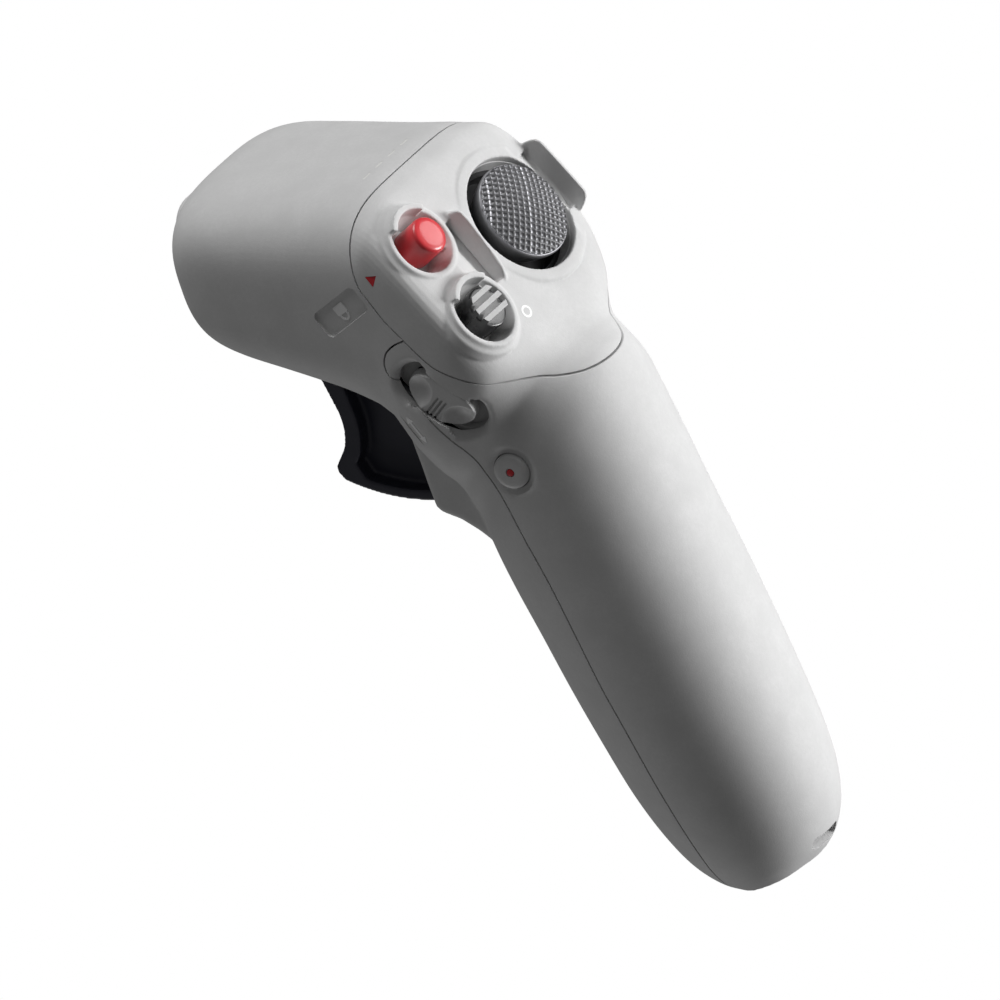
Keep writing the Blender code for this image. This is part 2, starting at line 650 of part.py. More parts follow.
def make_record_and_power():
    frame = basis(place(RECORD), RECORD_OUT, Vector((0.0, 0.0, 1.0)))
    cap = [(0.0, 0.35), (2.6, 0.45), (3.5, 0.35), (3.8, 0.0), (3.8, -2.6), (1.4, -2.6), (1.4, -4.4),
           (0.0, -4.4)]
    record = turned("record_button", "button_grey", frame, cap, 36)
    cut(record, rod("dot_pocket", None, frame, 0.95, -0.1, 2.0, 16))
    rod("record_dot", "mark_red", frame, 0.65, 0.05, 0.55, 16)
    spot = place(RECORD - RECORD_OUT * 7.2)
    box("record_switch", "chip_black", basis(spot, RECORD_OUT, Vector((0.0, 0.0, 1.0))),
        (5.0, 5.0, 3.6))
    side = basis(place(POWER), Vector((1.0, 0.0, 0.0)), Vector((0.0, 1.0, 0.0)))
    cap = [(0.0, 0.2), (3.4, 0.2), (4.2, -0.2), (4.2, -2.6), (1.5, -2.6), (1.5, -3.2), (0.0, -3.2)]
    turned("power_button", "button_grey", side, cap, 32)
    spot = place(POWER - Vector((6.8, 0.0, 0.0)))
    box("power_switch", "chip_black", basis(spot, Vector((1.0, 0.0, 0.0)), Vector((0.0, 1.0, 0.0))),
        (5.0, 5.0, 3.6))


# ---------------------------------------------------------------- trigger

def make_trigger():
    blade = [(45.4, -24.0), (43.9, -30.1), (43.1, -34.0), (43.2, -36.9), (44.3, -40.6),
             (46.5, -43.6), (47.9, -45.2), (47.5, -47.0)]
    blade += arc(TRIGGER_R, 26.4, -8.0, 12)
    blade += [(21.6, -40.0), (22.6, -27.0), (30.0, -24.0)]
    trigger = side_slab("trigger", "trigger_black", blade, -TRIGGER_HALF, TRIGGER_HALF)
    arm = [(30.5, -6.6), (36.0, -12.0), (44.8, -21.0), (45.4, -24.0), (43.2, -31.0), (24.5, -31.0),
           (22.9, -27.0), (22.7, -12.0), (23.6, -6.6), (27.0, -4.8)]
    add(trigger, side_slab("trigger_arm", None, arm, -6.0, 6.0))
    axle = basis(point(0.0, *PIVOT), Vector((1.0, 0.0, 0.0)), Vector((0.0, 1.0, 0.0)))
    cut(trigger, rod("trigger_bore", None, axle, BORE_R, -20.0, 20.0, 20))
    pocket = [(40.2, -27.0), (39.4, -32.0), (39.4, -38.0), (41.4, -43.2), (43.6, -45.6)]
    pocket += arc(TRIGGER_R - 2.2, 22.0, -9.5, 8) + [(24.0, -29.0), (30.0, -27.0)]
    for name, low, high in (("pocket_left", -20.0, -6.2), ("pocket_right", 6.2, 20.0)):
        cut(trigger, side_slab(name, None, pocket, low, high))
    keep_origin(trigger, point(0.0, *PIVOT))
    rod("trigger_pin", "steel", axle, PIN_R, -13.2, 13.2, 20)
    turns = []
    for i in range(61):
        a = math.tau * 5 * i / 60
        turns.append(point(6.8 + 3.6 * i / 60, PIVOT[0] + 2.6 * math.cos(a),
                           PIVOT[1] + 2.6 * math.sin(a)))
    tube("trigger_spring", "steel", turns, 0.28)
    magnet = box("trigger_magnet", "magnet_nickel",
                 basis(point(0.0, 20.9, -14.0), Vector((0.0, 1.0, 0.0)), Vector((1.0, 0.0, 0.0))),
                 (4.0, 4.0, 2.6))
    board = basis(point(0.0, 16.7, -14.0), Vector((0.0, 1.0, 0.0)), Vector((1.0, 0.0, 0.0)))
    box("magnet_sensor_board", "board_green", board, (10.0, 9.0, 1.0))
    return trigger, magnet


def make_inner_frame():
    cheek = [(25.0, 3.2), (42.0, 3.2), (42.0, -4.0), (32.0, -13.4), (22.6, -13.4), (22.6, -3.0)]
    frame = side_slab("inner_frame", "frame_black", cheek, -14.0, 14.0)
    room = [(10.0, 1.4), (60.0, 1.4), (60.0, -30.0), (10.0, -30.0)]
    cut(frame, side_slab("frame_room", None, room, -12.4, 12.4))
    axle = basis(point(0.0, *PIVOT), Vector((1.0, 0.0, 0.0)), Vector((0.0, 1.0, 0.0)))
    cut(frame, rod("frame_bore", None, axle, BORE_R, -20.0, 20.0, 20))
    up = Vector((0.0, 0.0, 1.0))
    right = Vector((1.0, 0.0, 0.0))
    for i, x in enumerate((-9.0, 9.0)):
        spot = basis(point(x, 38.0, 2.0), up, right)
        cut(frame, rod("frame_screw_hole_%d" % i, None, spot, 1.3, -6.0, 6.0, 14))
        screw("frame_screw_%d" % (i + 1), basis(point(x, 38.0, 3.5), up, right), 3.6)


def screw(name, frame, long):
    profile = [(0.0, 1.1), (1.5, 1.1), (1.9, 0.7), (1.9, 0.0), (0.95, 0.0), (0.95, -long + 0.4),
               (0.6, -long), (0.0, -long)]
    turned(name, "steel", frame, profile, 16)


# ---------------------------------------------------------------- boards and other contents

def make_control_board():
    board = box("control_board", "board_green", panel_basis(0.0, -2.7, -15.4), (39.0, 27.4, 1.2))
    for i, (x, down) in enumerate(POSTS):
        frame = panel_basis(x, down, -16.3)
        cut(board, rod("board_hole_%d" % i, None, frame, 1.3, -3.0, 3.0, 14))
        inward = basis(on_panel(x, down, -16.3), -OUT, Vector((1.0, 0.0, 0.0)))
        screw("board_screw_%d" % (i + 1), inward, 5.0)


def make_barrel_contents():
    up = Vector((0.0, 0.0, 1.0))
    right = Vector((1.0, 0.0, 0.0))
    box("radio_board", "board_green", basis(point(0.0, 42.0, 11.0), up, right), (38.0, 28.0, 1.2))
    box("radio_shield", "tin", basis(point(0.0, 44.0, 13.2), up, right), (24.0, 18.0, 2.4), 0.3)
    for name, x in (("antenna_left", -22.2), ("antenna_right", 22.2)):
        box(name, "antenna_film", basis(point(x, 44.0, 2.0), right, up), (12.0, 24.0, 0.4))
    box("motion_sensor", "chip_black", basis(point(0.0, 50.0, 9.4), up, right), (5.0, 5.0, 1.2))
    rod("vibration_motor", "steel", basis(point(-16.0, 46.0, -6.0), right, up), 4.0, -4.5, 4.5, 24)
    rod("buzzer", "chip_black", basis(point(12.0, 54.0, 0.0), Vector((0.0, 1.0, 0.0)), up),
        4.5, -2.0, 2.0, 24)
    guide = box("level_light_guide", "light_guide", basis(point(-0.9, LIGHT_Y, 16.6), up, right),
                (18.0, 2.0, 1.2))
    for i, x in enumerate(LIGHTS):
        frame = basis(point(x, LIGHT_Y, 18.3), up, right)
        add(guide, box("light_prong_%d" % i, None, frame, (2.2, 0.6, 2.9)))
    box("level_light_board", "board_green", basis(point(-0.9, LIGHT_Y + 1.0, 15.0), up, right),
        (20.0, 6.0, 0.8))


def make_handle_contents():
    cell = basis(place(CELL), AXIS, Vector((1.0, 0.0, 0.0)))
    half = CELL_LONG / 2
    rod("battery_cell", "cell_blue", cell, CELL_R, -half, half, 36, 0.5)
    cradle = rod("battery_cradle", "frame_black", cell, CELL_R + 1.7, -half - 2.0, half + 1.0, 36)
    cut(cradle, rod("cell_room", None, cell, CELL_R + 0.4, -half - 0.4, half + 8.0, 36))
    front = basis(place(CELL + FRONT * 12.0), AXIS, Vector((1.0, 0.0, 0.0)))
    cut(cradle, box("cradle_mouth", None, front, (30.0, 20.0, CELL_LONG + 20.0)))
    board = basis(place(CELL + FRONT * 12.4 - AXIS * 3.0), AXIS, Vector((1.0, 0.0, 0.0)))
    box("main_board", "board_green", board, (22.0, 1.2, 56.0))
    chip = basis(place(CELL + FRONT * 13.8 - AXIS * 8.0), AXIS, Vector((1.0, 0.0, 0.0)))
    box("main_chip", "chip_black", chip, (9.0, 1.0, 9.0))
    foot = basis(place(FOOT), AXIS, Vector((1.0, 0.0, 0.0)))
    cap = turned("end_cap", "shell_grey", foot,
                 [(0.0, 0.9), (4.0, 0.85), (6.6, 0.7), (CAP_HALF - 0.4, 0.4), (CAP_HALF, 0.0),
                  (CAP_HALF, -2.4), (0.0, -2.4)], 40)
    cut(cap, box("port_slot", None, foot @ Matrix.Translation((0.0, 0.002, 0.0)), (9.7, 3.9, 12.0)))
    port = box("usb_c_inlet", "tin", foot @ Matrix.Translation((0.0, 0.002, -0.0032)),
               (9.0, 3.2, 7.4), 0.3)
    mouth = foot @ Matrix.Translation((0.0, 0.002, -0.0010))
    cut(port, box("port_mouth", None, mouth, (8.3, 2.5, 6.0)))
    add(port, box("port_tongue", None, mouth @ Matrix.Translation((0.0, 0.0, -0.0012)),
                  (6.6, 0.7, 4.4)))
    screw_frame = foot @ Matrix.Translation((0.0, -0.0042, -0.0007))
    cut(cap, rod("cap_screw_room", None, screw_frame, 2.2, -0.3, 5.0, 18))
    cut(cap, rod("cap_screw_hole", None, screw_frame, 1.3, -6.0, 1.0, 14))
    screw("end_cap_screw", screw_frame, 5.0)


def pointer_outline(grow):
    return [(1.2 + grow * 1.6, -0.7 - grow), (0.0, 1.35 + grow * 1.6), (-1.25 - grow * 1.6, -0.9 - grow)]


def make_nose_and_pointer(panel):
    nose = basis(point(0.0, 0.0, 0.0), Vector((0.0, 1.0, 0.0)), Vector((-1.0, 0.0, 0.0)))
    outline = rounded(NOSE_HALF, NOSE_LOW, NOSE_TOP, 6.4)
    cover = slab("nose_cover", "shell_grey", nose, outline, 60.8, 65.1)
    edge = cover.modifiers.new("edge", 'BEVEL')
    edge.width = 0.9 * MM
    edge.segments = 2
    edge.limit_method = 'ANGLE'
    edge.angle_limit = math.radians(60)
    side = basis(place(POINTER), Vector((-0.986, -0.125, 0.107)), Vector((0.0, 1.0, 0.0)))
    cut(panel, slab("pointer_pocket", None, side, pointer_outline(0.15), -0.9, 3.0))
    slab("pointer_mark", "mark_red", side, pointer_outline(0.0), -0.7, 0.02)


make_nose_and_pointer(make_panel())
make_front_shell()
make_rear_shell()
make_joystick()
make_panel_buttons()
make_slider()
make_record_and_power()
make_trigger()
make_inner_frame()
make_control_board()
make_barrel_contents()
make_handle_contents()
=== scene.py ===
"""Looks for the one-hand motion controller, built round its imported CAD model.

Lengths are millimetres in the side frame of the part: X right, Y toward the nose, Z up, measured
from the middle of the control panel. point() turns them into metres in the row frame.
"""
import math

import bmesh
import bpy
import numpy as np
from mathutils import Matrix, Vector
from mathutils.bvhtree import BVHTree


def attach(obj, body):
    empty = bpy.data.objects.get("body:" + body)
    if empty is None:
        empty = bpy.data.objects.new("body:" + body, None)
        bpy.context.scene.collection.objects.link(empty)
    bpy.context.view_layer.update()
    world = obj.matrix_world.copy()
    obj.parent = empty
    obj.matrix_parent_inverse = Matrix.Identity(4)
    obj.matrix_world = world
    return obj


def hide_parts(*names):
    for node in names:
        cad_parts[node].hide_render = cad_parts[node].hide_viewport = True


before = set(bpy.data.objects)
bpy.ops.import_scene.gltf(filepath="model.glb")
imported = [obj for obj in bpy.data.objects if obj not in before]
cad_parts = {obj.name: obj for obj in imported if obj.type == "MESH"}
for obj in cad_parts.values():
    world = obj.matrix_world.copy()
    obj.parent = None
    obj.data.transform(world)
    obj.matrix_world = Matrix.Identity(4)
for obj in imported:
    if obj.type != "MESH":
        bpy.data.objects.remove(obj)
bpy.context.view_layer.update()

MM = 0.001
GRIP = Vector((0.0, -14.9, -86.0))            # the row frame's origin, in the side frame
WALL = 1.9
SEAM = 0.40                                   # gap between two shells
AROUND = 168            # points round one body section
BETWEEN = 7              # sections made for each row of SECTIONS
VOXEL = 0.30
SHELL_VOXEL = VOXEL * 1.8

# the body from nose to foot:
# outer y, outer z, inner y, inner z, half width, outer exponent, inner exponent, hollow's setback
SECTIONS = [
    (64.2, 9.5, 63.4, -7.0, 15.0, 2.7, 2.5, 2.2),
    (63.6, 14.6, 62.4, -11.8, 20.0, 2.8, 2.6, 1.9),
    (62.0, 17.6, 60.4, -14.6, 23.2, 3.0, 2.6, 1.4),
    (58.8, 19.3, 57.0, -16.7, 25.2, 3.2, 2.7, 0.7),
    (53.4, 20.1, 51.2, -18.8, 26.3, 3.4, 2.8, 0.0),
    (45.0, 20.2, 43.0, -21.5, 26.8, 3.4, 2.8, 0.0),
    (37.0, 20.2, 36.0, -24.0, 27.0, 3.4, 2.8, 0.0),
    (29.0, 20.2, 30.6, -26.6, 27.0, 3.4, 2.7, 0.0),
    (22.4, 20.1, 26.4, -29.2, 27.1, 3.5, 2.6, 0.0),
    (17.6, 19.8, 23.6, -31.4, 27.2, 3.8, 2.5, 0.0),
    (13.8, 18.6, 21.8, -33.2, 27.3, 4.7, 2.5, 0.0),
    (9.9, 16.2, 20.6, -35.2, 27.4, 7.2, 2.4, 0.0),
    (5.5, 10.7, 19.6, -37.6, 27.6, 9.6, 2.4, 0.0),
    (0.0, 2.4, 18.8, -40.4, 27.6, 10.0, 2.4, 0.0),
    (-5.4, -6.2, 18.0, -43.4, 27.0, 8.8, 2.3, 0.0),
    (-9.2, -13.4, 17.4, -46.2, 25.1, 6.2, 2.3, 0.0),
    (-11.6, -17.6, 17.0, -48.8, 23.1, 3.8, 2.2, 0.0),
    (-14.2, -20.2, 16.6, -51.4, 21.8, 2.7, 2.2, 0.0),
    (-17.2, -21.8, 16.2, -54.0, 21.5, 2.3, 2.2, 0.0),
    (-20.4, -24.0, 16.0, -56.6, 21.4, 2.1, 2.1, 0.0),
    (-22.9, -28.4, 15.8, -59.2, 21.4, 2.1, 2.1, 0.0),
    (-24.8, -36.5, 15.5, -62.2, 21.5, 2.1, 2.1, 0.0),
    (-26.9, -46.5, 14.8, -66.2, 21.6, 2.1, 2.1, 0.0),
    (-29.2, -58.5, 13.3, -72.6, 21.6, 2.1, 2.1, 0.0),
    (-32.0, -71.0, 10.8, -82.0, 21.5, 2.1, 2.1, 0.0),
    (-34.7, -84.0, 7.8, -94.2, 21.2, 2.1, 2.1, 0.0),
    (-37.2, -97.0, 4.4, -106.6, 20.6, 2.1, 2.1, 0.0),
    (-39.3, -109.0, 1.0, -118.2, 19.7, 2.1, 2.1, 0.0),
    (-40.4, -119.0, -2.8, -127.7, 18.2, 2.1, 2.1, -0.5),
    (-39.7, -127.5, -7.0, -135.2, 15.9, 2.1, 2.1, -1.2),
    (-37.2, -134.0, -11.8, -140.2, 12.8, 2.1, 2.1, -2.0),
    (-33.4, -138.4, -16.8, -142.8, 9.4, 2.1, 2.1, -2.6),
]

# seams seen from the side, as (y, z); the rear seam leaves the panel's seam at point SEAM_FORK
PANEL_SEAM = [(14.9, 40.0), (14.9, 19.0), (14.9, 10.0), (14.3, 4.8), (12.6, 1.4), (10.3, -2.7),
              (6.9, -7.2), (2.6, -12.8), (-0.8, -15.5), (-6.1, -19.0), (-12.8, -22.6),
              (-17.9, -24.2), (-24.0, -25.2), (-60.0, -26.0)]
SEAM_FORK = 6
REAR_SEAM = [(6.9, -7.2), (9.8, -8.3), (12.2, -10.0), (13.5, -12.6), (13.0, -15.4), (10.4, -19.1),
             (8.0, -23.1), (5.6, -29.0), (2.6, -37.9), (-0.3, -45.8), (-2.9, -55.4), (-5.7, -65.5),
             (-8.0, -76.9), (-10.1, -88.4), (-12.5, -98.8), (-14.7, -109.3), (-16.7, -119.4),
             (-18.1, -129.3), (-18.4, -138.0), (-18.4, -170.0)]

X = Vector((1.0, 0.0, 0.0))
Y = Vector((0.0, 1.0, 0.0))
Z = Vector((0.0, 0.0, 1.0))
DOWN = Vector((0.0, -0.543, -0.840)).normalized()
OUT = Vector((0.0, -0.840, 0.543)).normalized()

# places on the panel, as (x, down), and the controls' sizes there
STICK = (10.6, -1.1)
WELL = (10.85, -1.0)
LOCK = (-16.0, -10.1)
MODE = (-16.0, 8.4)
COLLAR_R = 8.2
COLLAR_TOP = 1.6
LOBE_IN, LOBE_OUT, LOBE_TOP = 6.6, 7.9, 3.2
LOBE_SPAN = (224.0, 317.0)
BUTTON_R = 4.1
MODE_R = 4.5
STEM_R = 1.9
RIB_ROWS = (-2.9, -0.5, 1.9)
POSTS = [(-1.0, -15.0), (-2.0, 9.0), (-16.5, -0.8)]
MODE_SIGN = (-6.2, 14.35)

# the stick's domed top: its height, and how far it falls by radius DOME_R
DOME_TOP = 4.5
DOME_FALL = 1.45
DOME_R = 9.8
KNURL_PITCH = 1.26
KNURL_HIGH = 0.42
KNURL_R = 10.18
KNURL_HALF = 10.8

# the trigger's hinge as (y, z), and its shape about it
PIVOT = (27.0, -9.0)
TRIGGER_R = 43.8
TRIGGER_HALF = 9.4
TRIGGER_SLOT = 10.7

# the other controls, signs and openings
SLIDER = Vector((-24.8, 4.0, -21.7))
SLIDE_WAY = Vector((0.232, -0.626, -0.745)).normalized()
SLIDE_OUT = Vector((-0.966, -0.205, -0.130))
RECORD = Vector((-21.2, -4.4, -40.2))
RECORD_OUT = Vector((-0.990, -0.140, 0.015))
POWER = Vector((26.6, 31.0, 1.0))
POINTER = Vector((-27.25, 10.5, 6.3))
POINTER_OUT = Vector((-0.986, -0.125, 0.107))
LABEL = Vector((-27.1, 20.6, -1.0))
LABEL_WAY = Vector((0.0, -0.863, 0.503))
TILT_LABEL = (11.5, -28.0)
TILT_WAY = Vector((0.1, -0.38, -0.92))
NOSE_HALF = 15.5
NOSE_LOW = -10.0
NOSE_TOP = 15.6
NOSE_GAP = 0.25
LIGHTS = [-8.1, -3.3, 1.5, 6.3]
LIGHT_Y = 19.3
AXIS = Vector((0.0, -0.262, -0.965)).normalized()
CORD_EYE = Vector((0.0, -37.6, -133.8))
EYE_OUT = Vector((0.0, -0.86, -0.50))
EYE_DEEP = 4.4
FOOT = Vector((0.0, -26.0, -139.6))
CAP_HALF = 8.4

# the camera's right and up, and what it looks at: millimetres right and up of the panel's middle
VIEW_RIGHT = Vector((0.516, -0.812, -0.272)).normalized()
VIEW_UP = Vector((0.465, 0.0, 0.885))
VIEW_SHIFT = (1.4, -51.0)
# in metres: the width the camera sees, how far back it stands, and the floor
VIEW_WIDTH = 0.2
VIEW_AWAY = 0.8
FLOOR_LOW = -0.30
FLOOR_HALF = 3.0
# how strongly the white world lights the object
FILL = 0.1


# ---------------------------------------------------------------- places

def point(x, y, z):
    """A side-frame place in metres in the row frame."""
    return (Vector((x, y, z)) - GRIP) * MM


def place(p):
    return point(p.x, p.y, p.z)


def on_panel(x, down, out):
    p = DOWN * down + OUT * out
    return point(x, p.y, p.z)


def basis(origin, zdir, xdir):
    """A frame at origin whose Z is zdir and whose X is as near xdir as it can be."""
    z = zdir.normalized()
    x = (xdir - z * xdir.dot(z)).normalized()
    turn = Matrix((x, z.cross(x), z)).transposed().to_4x4()
    return Matrix.Translation(origin) @ turn


def panel_basis(x, down, out=0.0):
    return basis(on_panel(x, down, out), OUT, X)


def moved(where, x, y, z):
    return where @ Matrix.Translation((x * MM, y * MM, z * MM))


SIDE = basis(point(0.0, 0.0, 0.0), X, Y)
NOSE = basis(point(0.0, 0.0, 0.0), Y, -X)
ACROSS = basis(on_panel(0.0, 0.0, 0.0), DOWN, X)
SLIDE = basis(place(SLIDER), SLIDE_OUT, SLIDE_WAY)
AXLE = basis(point(0.0, *PIVOT), X, Y)
FOOT_END = basis(place(FOOT), AXIS, X)
LABEL_SPOT = basis(place(LABEL), -X, LABEL_WAY)


# ---------------------------------------------------------------- mesh tools

def new_object(name, verts, faces):
    mesh = bpy.data.meshes.new(name)
    mesh.from_pydata([tuple(v) for v in verts], [], faces)
    work = bmesh.new()
    work.from_mesh(mesh)
    bmesh.ops.recalc_face_normals(work, faces=work.faces)
    work.to_mesh(mesh)
    work.free()
    thing = bpy.data.objects.new(name, mesh)
    bpy.context.scene.collection.objects.link(thing)
    return thing


def settle(thing):
    """Apply every modifier."""
    graph = bpy.context.evaluated_depsgraph_get()
    graph.update()
    mesh = bpy.data.meshes.new_from_object(thing.evaluated_get(graph))
    thing.modifiers.clear()
    old = thing.data
    thing.data = mesh
    bpy.data.meshes.remove(old)
    return thing


def remove(*things):
    for thing in things:
        bpy.data.objects.remove(thing, do_unlink=True)


def combine(thing, kind, tools, solver='MANIFOLD'):
    """Boolean thing with each tool in turn, then drop the tools."""
    for tool in tools:
        step = thing.modifiers.new("step", 'BOOLEAN')
        step.operation = kind
        step.solver = solver
        step.object = tool
    settle(thing)
    remove(*tools)
    return thing


def cut(thing, *tools, solver='MANIFOLD'):
    return combine(thing, 'DIFFERENCE', tools, solver)


def add(thing, *tools, solver='MANIFOLD'):
    return combine(thing, 'UNION', tools, solver)


def keep(thing, *tools, solver='MANIFOLD'):
    return combine(thing, 'INTERSECT', tools, solver)


def soften(thing, voxel, rounds):
    """Rebuild the surface on a fine grid and relax it, which rounds every edge like moulding."""
    grid = thing.modifiers.new("grid", 'REMESH')
    grid.mode = 'VOXEL'
    grid.voxel_size = voxel * MM
    relax = thing.modifiers.new("relax", 'SMOOTH')
    relax.factor = 0.5
    relax.iterations = rounds
    return settle(thing)


def bevel(thing, width, segments=3, angle=40):
    edge = thing.modifiers.new("edge", 'BEVEL')
    edge.width = width * MM
    edge.segments = segments
    edge.limit_method = 'ANGLE'
    edge.angle_limit = math.radians(angle)
    return settle(thing)


def shade(thing, angle=35):
    thing.data.shade_smooth()
    thing.data.set_sharp_from_angle(angle=math.radians(angle))
    return thing


def offset(path, gap):
    """The (y, z) path moved sideways by gap."""
    out = []
    for i, p in enumerate(path):
        a = Vector(path[max(i - 1, 0)])
        b = Vector(path[min(i + 1, len(path) - 1)])
        way = (b - a).normalized()
        out.append((p[0] - way.y * gap, p[1] + way.x * gap))
    return out


def fine(path, steps=5):
    """A smooth curve through the points, which are (a, b) pairs or longer rows."""
    rows = np.array(path, float)
    ends = np.vstack([2 * rows[0] - rows[1], rows, 2 * rows[-1] - rows[-2]])
    out = []
    for k in range(len(rows) - 1):
        p0, p1, p2, p3 = ends[k:k + 4]
        for i in range(steps):
            t = i / steps
            out.append(0.5 * (2 * p1 + (p2 - p0) * t + (2 * p0 - 5 * p1 + 4 * p2 - p3) * t * t
                              + (3 * p1 - p0 - 3 * p2 + p3) * t ** 3))
    out.append(rows[-1])
    return [tuple(float(v) for v in row) for row in out]


def slab(name, where, outline, low, high):
    """A flat outline in where's XY plane, thickened along its Z."""
    n = len(outline)
    verts = [where @ Vector((a * MM, b * MM, h * MM)) for h in (low, high) for a, b in outline]
    faces = [tuple(range(n)), tuple(range(n, 2 * n))]
    faces += [(i, (i + 1) % n, n + (i + 1) % n, n + i) for i in range(n)]
    return new_object(name, verts, faces)


def side_slab(name, outline, low, high):
    return slab(name, SIDE, outline, low, high)


def turned(name, where, profile, steps=96):
    """A closed solid of revolution: (radius, height) pairs, with poles where the radius is 0."""
    verts, rings = [], []
    for r, h in profile:
        if r < 1e-6:
            rings.append([len(verts)])
            verts.append(where @ Vector((0.0, 0.0, h * MM)))
            continue
        rings.append(list(range(len(verts), len(verts) + steps)))
        for i in range(steps):
            a = math.tau * i / steps
            verts.append(where @ Vector((r * math.cos(a) * MM, r * math.sin(a) * MM, h * MM)))
    faces = []
    pairs = list(zip(rings, rings[1:]))
    if len(rings[0]) > 1:
        pairs.append((rings[-1], rings[0]))
    for a, b in pairs:
        for i in range(steps):
            j = (i + 1) % steps
            corner = [a[i % len(a)], a[j % len(a)], b[j % len(b)], b[i % len(b)]]
            face = tuple(dict.fromkeys(corner))
            if len(face) > 2:
                faces.append(face)
    return new_object(name, verts, faces)


def rod(name, where, radius, low, high, steps=96):
    return turned(name, where, [(0.0, high), (radius, high), (radius, low), (0.0, low)], steps)


def rounded(half_a, low, high, radius, steps=8):
    """A rounded rectangle, 2 * half_a wide, from low to high."""
    rows = []
    corners = ((half_a, high, 0), (-half_a, high, 1), (-half_a, low, 2), (half_a, low, 3))
    for ca, cb, first in corners:
        a0 = ca - math.copysign(radius, ca)
        b0 = cb - radius if cb == high else cb + radius
        for i in range(steps + 1):
            a = math.pi / 2 * (first + i / steps)
            rows.append((a0 + radius * math.cos(a), b0 + radius * math.sin(a)))
    return rows


def stadium(half_long, half_wide, steps=20):
    """A slot shape: two half circles joined by straight sides."""
    rows = []
    for end in (1.0, -1.0):
        for i in range(steps + 1):
            a = math.pi * (i / steps - 0.5)
            rows.append((end * (half_long - half_wide + half_wide * math.cos(a)),
                         end * half_wide * math.sin(a)))
    return rows


def arc(radius, start, stop, steps):
    """Points round the trigger's hinge, by degrees from straight down."""
    rows = []
    for i in range(steps + 1):
        a = math.radians(start + (stop - start) * i / steps)
        rows.append((PIVOT[0] + radius * math.sin(a), PIVOT[1] - radius * math.cos(a)))
    return rows


def dish(name, where, outline, low, high, flare):
    """A cutter whose outline grows by flare from low to high, for a recess with sloped sides."""
    n = len(outline)
    centre = Vector((sum(a for a, b in outline) / n, sum(b for a, b in outline) / n))
    verts = []
    for h, grow in ((low, 0.0), (high, flare)):
        for a, b in outline:
            p = Vector((a, b))
            p += (p - centre).normalized() * grow
            verts.append(where @ Vector((p.x * MM, p.y * MM, h * MM)))
    faces = [tuple(range(n)), tuple(range(n, 2 * n))]
    faces += [(i, (i + 1) % n, n + (i + 1) % n, n + i) for i in range(n)]
    return new_object(name, verts, faces)


# ---------------------------------------------------------------- the body's skin

def section_ring(row, shrink):
    """One squared oval between its outer and inner side points."""
    oy, oz, iy, iz, half, p_out, p_in, back = row
    middle = np.array([(oy + iy) / 2, (oz + iz) / 2])
    across = np.array([oy - iy, oz - iz]) / 2
    reach = float(np.linalg.norm(across))
    across = across / reach
    if shrink:
        middle = middle + np.array([-across[1], across[0]]) * back
    angle = np.arange(AROUND) * math.tau / AROUND
    c, s = np.cos(angle), np.sin(angle)
    power = np.where(s >= 0, p_out, p_in)
    r = (np.abs(c) ** power + np.abs(s) ** power) ** (-1 / power)
    x = (half - shrink) * r * c
    t = (reach - shrink) * r * s
    return np.stack([x, middle[0] + across[0] * t, middle[1] + across[1] * t], axis=1)


def body_solid(name, shrink=0.0):
    """The whole body as one solid, or the room inside a wall shrink thick."""
    rows = fine(SECTIONS, BETWEEN)
    rings = np.array([section_ring(row, shrink) for row in rows])
    verts = (rings.reshape(-1, 3) - np.array(GRIP)) * MM
    last = len(rows) - 1
    faces = [tuple(range(AROUND))[::-1]]
    for k in range(last):
        a, b = k * AROUND, (k + 1) * AROUND
        faces += [(a + i, a + (i + 1) % AROUND, b + (i + 1) % AROUND, b + i) for i in range(AROUND)]
    faces.append(tuple(last * AROUND + i for i in range(AROUND)))
    return new_object(name, verts, faces)


def panel_region(gap):
    """The side outline of what belongs to the panel, held gap away from its seam."""
    seam = fine(PANEL_SEAM[:-1]) + [PANEL_SEAM[-1]]
    return offset(seam, gap) + [(-60.0, 40.0)]


def front_region(gap):
    upper = offset(fine(PANEL_SEAM[:SEAM_FORK + 1]), gap)
    rear = offset(fine(REAR_SEAM[:-1]) + [REAR_SEAM[-1]], gap)
    return upper[:-1] + rear + [(100.0, -170.0), (100.0, 40.0)]


def rear_region(gap):
    upper = offset(fine(PANEL_SEAM[SEAM_FORK:-1]) + [PANEL_SEAM[-1]], gap)
    rear = offset(fine(REAR_SEAM[:-1]) + [REAR_SEAM[-1]], -gap)
    return rear[1:] + [(-60.0, -170.0)] + upper[::-1]


# ---------------------------------------------------------------- shells

def ring_sector(inner, outer, start, stop, steps=24):
    """Part of a flat ring, between two angles in degrees."""
    rows = []
    for radius, order in ((inner, 1), (outer, -1)):
        ring = []
        for i in range(steps + 1):
            a = math.radians(start + (stop - start) * i / steps)
            ring.append((radius * math.cos(a), -radius * math.sin(a)))
        rows += ring[::order]
    return rows


def collar_ring(name, spot):
    """A button's flared low ring."""
    top, r = COLLAR_TOP, COLLAR_R
    flare = [(0.0, top), (r, top), (r + 0.15, top - 0.2), (r + 0.5, 0.9), (r + 1.4, 0.3),
             (r + 2.1, -1.4), (r + 2.1, -2.0), (0.0, -2.0)]
    return turned(name + "_ring", panel_basis(*spot), flare)


def collar_bowl(name, spot):
    """The tapered hollow inside a collar."""
    bowl = [(0.0, 6.0), (7.25, 6.0), (7.2, 1.5), (7.0, 1.0), (5.3, -3.4), (5.2, -4.0), (0.0, -4.0)]
    return turned(name + "_bowl", panel_basis(*spot), bowl)


